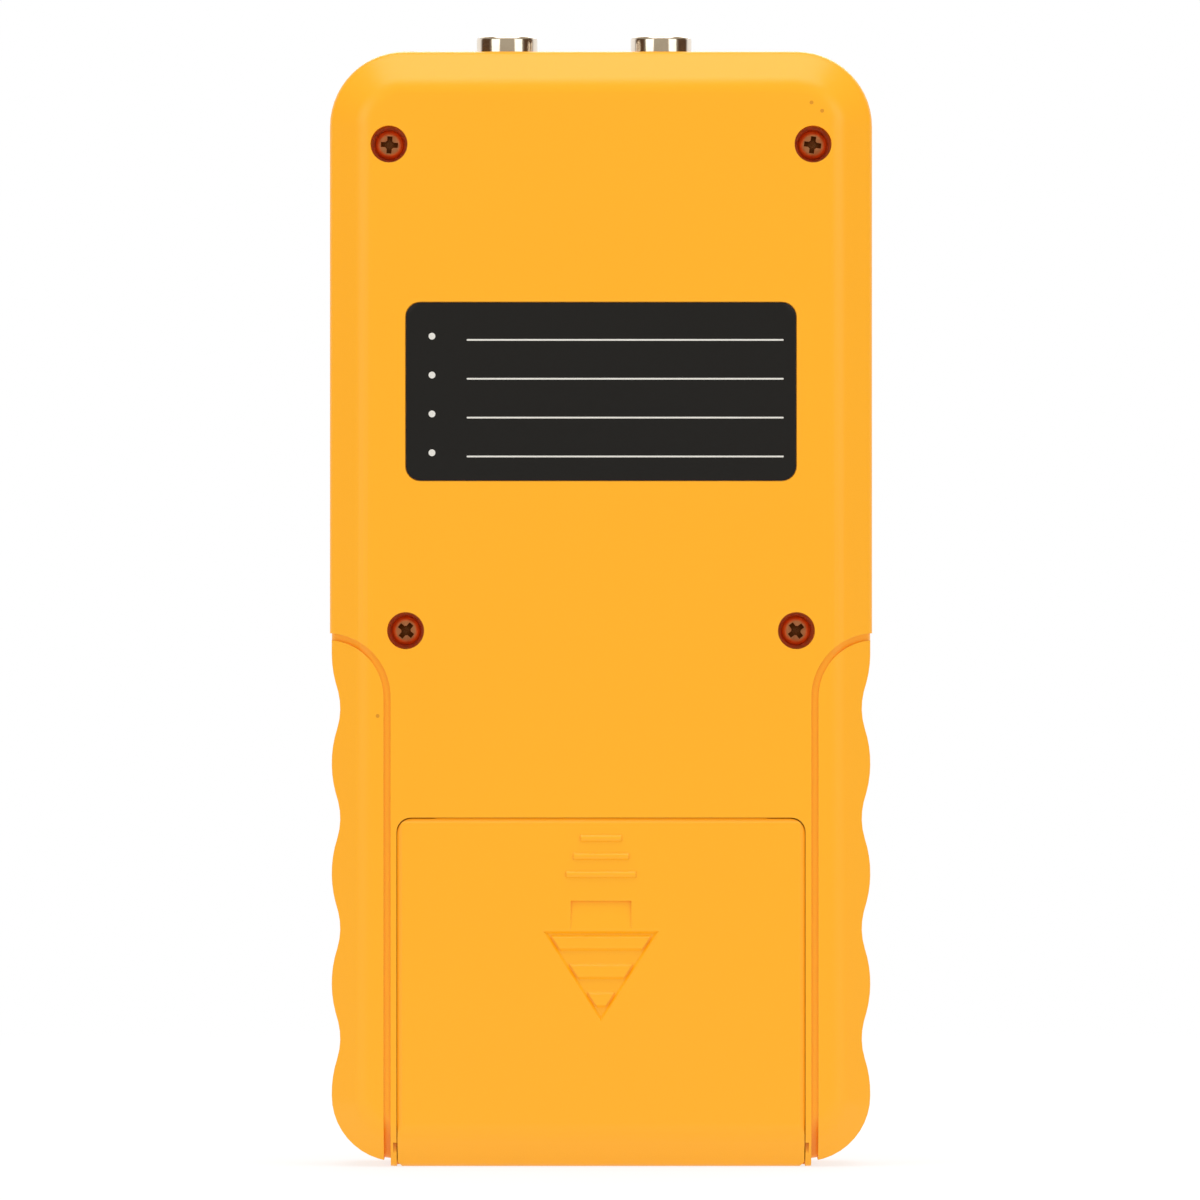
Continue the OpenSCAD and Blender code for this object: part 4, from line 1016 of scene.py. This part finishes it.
@dataclass
class Studio:
    """Floor, lamps, surroundings and the camera at the photograph's view."""

    image_px: int = 1200
    px_per_mm: float = 7.53
    centre_px: Point = (601.0, 1166.0)
    outline_mm: float = -10.0
    distance_mm: float = 2000.0
    sensor_mm: float = 36.0
    near_m: float = 0.01
    lamps: tuple[Softbox, ...] = (
        Softbox("softbox_left", (-0.72, -0.74, 0.34), (0.57, 0.46), 1.15),
        Softbox("softbox_right", (0.72, -0.74, 0.34), (0.57, 0.46), 1.15),
        Softbox("softbox_overhead", (0.0, -0.2, 0.95), (0.9, 0.7), 4.0),
        Softbox("softbox_behind", (0.15, 1.3, 0.95), (1.2, 0.8), 9.0),
    )
    floor_half_m: float = 4.0
    shadow_m: Point = (0.15, 0.6)
    shadow_glow: float = 0.75
    table_y_m: Point = (-0.05, -0.3)
    table: str = "#4e483e"
    ambient: float = 0.72
    flags: tuple[tuple[float, str], ...] = (
        (0.0, "#b8b0a0"), (0.25, "#a59c8c"), (0.33, "#57402e"), (0.66, "#57402e"),
        (0.76, "#ffffff"))
    ceiling_rise: Point = (0.3, 0.7)
    ceiling: str = "#b0a898"

    def build(self) -> None:
        """Set up the whole studio."""
        bpy.context.scene.view_settings.view_transform = "Standard"
        for lamp in self.lamps:
            lamp.build()
        self.add_floor()
        self.set_world()
        self.set_camera()

    def add_floor(self) -> None:
        """Lay the pale floor."""
        mesh = bpy.data.meshes.new("studio_floor")
        half = self.floor_half_m
        corners = [(-half, -half, 0), (half, -half, 0), (half, half, 0), (-half, half, 0)]
        mesh.from_pydata(corners, [], [(0, 1, 2, 3)])
        floor = bpy.data.objects.new("studio_floor", mesh)
        bpy.context.scene.collection.objects.link(floor)
        mesh.materials.append(self.floor_paint())

    def floor_paint(self) -> bpy.types.Material:
        """Make the floor's paint: it keeps a soft shadow, and mirrors darker in front.

        Returns:
            The new material.
        """
        material = bpy.data.materials.new("painted_floor_white")
        material.use_nodes = True
        tree = material.node_tree
        tree.nodes.clear()
        paint = add_node(tree, "ShaderNodeBsdfDiffuse", {"Color": linear("#fafafa")})
        glow = add_node(tree, "ShaderNodeEmission", {"Color": linear("#ffffff"), "Strength": 1.0})
        spot = add_node(tree, "ShaderNodeTexCoord").outputs["Object"]
        away = add_node(tree, "ShaderNodeVectorMath", {0: spot}, operation="LENGTH")
        share = add_node(tree, "ShaderNodeMapRange", {
            "Value": away.outputs["Value"], "From Min": self.shadow_m[0],
            "From Max": self.shadow_m[1], "To Min": self.shadow_glow})
        lift = add_node(tree, "ShaderNodeMixShader", {
            0: share.outputs[0], 1: paint.outputs[0], 2: glow.outputs[0]})
        depth = add_node(tree, "ShaderNodeSeparateXYZ", {0: spot}).outputs[1]
        front = add_node(tree, "ShaderNodeMapRange", {
            "Value": depth, "From Min": self.table_y_m[0], "From Max": self.table_y_m[1]})
        path = add_node(tree, "ShaderNodeLightPath")
        mirrored = add_node(tree, "ShaderNodeMath", {
            0: front.outputs[0], 1: path.outputs["Is Glossy Ray"]}, operation="MULTIPLY")
        table = add_node(tree, "ShaderNodeEmission", {
            "Color": linear(self.table), "Strength": 1.0})
        seen = add_node(tree, "ShaderNodeMixShader", {
            0: mirrored.outputs[0], 1: lift.outputs[0], 2: table.outputs[0]})
        add_node(tree, "ShaderNodeOutputMaterial", {"Surface": seen.outputs[0]})
        return material

    def set_world(self) -> None:
        """Surround the object: white to the camera and behind, with flags and a dim ceiling."""
        world = bpy.data.worlds.new("studio_surroundings")
        bpy.context.scene.world = world
        world.use_nodes = True
        tree = world.node_tree
        tree.nodes.clear()
        way = add_node(tree, "ShaderNodeTexCoord").outputs["Generated"]
        part = add_node(tree, "ShaderNodeSeparateXYZ", {0: way})
        depth = add_node(tree, "ShaderNodeMapRange", {"Value": part.outputs[1], "From Min": -1.0})
        flags = add_node(tree, "ShaderNodeValToRGB", {0: depth.outputs[0]})
        stops = flags.color_ramp.elements
        while len(stops) < len(self.flags):
            stops.new(0.5)
        for stop, (at, code) in zip(stops, self.flags):
            stop.position = at
            stop.color = linear(code)
        path = add_node(tree, "ShaderNodeLightPath")
        plain = add_node(tree, "ShaderNodeMath", {
            0: path.outputs["Is Camera Ray"], 1: path.outputs["Is Transmission Ray"]},
            operation="MAXIMUM")
        height = add_node(tree, "ShaderNodeMapRange", {
            "Value": part.outputs[2], "From Min": self.ceiling_rise[0],
            "From Max": self.ceiling_rise[1]})
        room = add_node(tree, "ShaderNodeMix", {
            SHARE: height.outputs[0], FIRST: flags.outputs[0], SECOND: linear(self.ceiling)},
            data_type="RGBA")
        mirrored = add_node(tree, "ShaderNodeMix", {
            SHARE: path.outputs["Is Glossy Ray"],
            FIRST: (self.ambient, self.ambient, self.ambient, 1.0),
            SECOND: room.outputs[MIXED]}, data_type="RGBA")
        colour = add_node(tree, "ShaderNodeMix", {
            SHARE: plain.outputs[0], FIRST: mirrored.outputs[MIXED], SECOND: linear("#ffffff")},
            data_type="RGBA")
        sky = add_node(tree, "ShaderNodeBackground", {
            "Color": colour.outputs[MIXED], "Strength": 1.0})
        add_node(tree, "ShaderNodeOutputWorld", {"Surface": sky.outputs[0]})

    def set_camera(self) -> None:
        """Place the camera square to the back, as the photograph shows it."""
        lens = bpy.data.cameras.new("photo_camera")
        lens.sensor_width = self.sensor_mm
        lens.lens = self.px_per_mm * self.sensor_mm / self.image_px * self.distance_mm
        lens.clip_start = self.near_m
        camera = bpy.data.objects.new("photo_camera", lens)
        middle = self.image_px / 2
        across = (middle - self.centre_px[0]) / self.px_per_mm
        height = (self.centre_px[1] - middle) / self.px_per_mm
        camera.location = (across * MM, (self.outline_mm - self.distance_mm) * MM, height * MM)
        camera.rotation_euler = (math.radians(90), 0.0, 0.0)
        bpy.context.scene.collection.objects.link(camera)
        bpy.context.scene.camera = camera


def main() -> None:
    """Load the frame and build the gauge and its studio."""
    logging.basicConfig(level=logging.INFO, format="%(message)s")
    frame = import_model()
    model = Model(frame["nodes"])
    Studio().build()
    for group in (Case, ProbeSockets, Electronics, Display, Keypad, ReferenceDisc, BatteryBay):
        group(model).build()


if __name__ == "__main__":
    main()
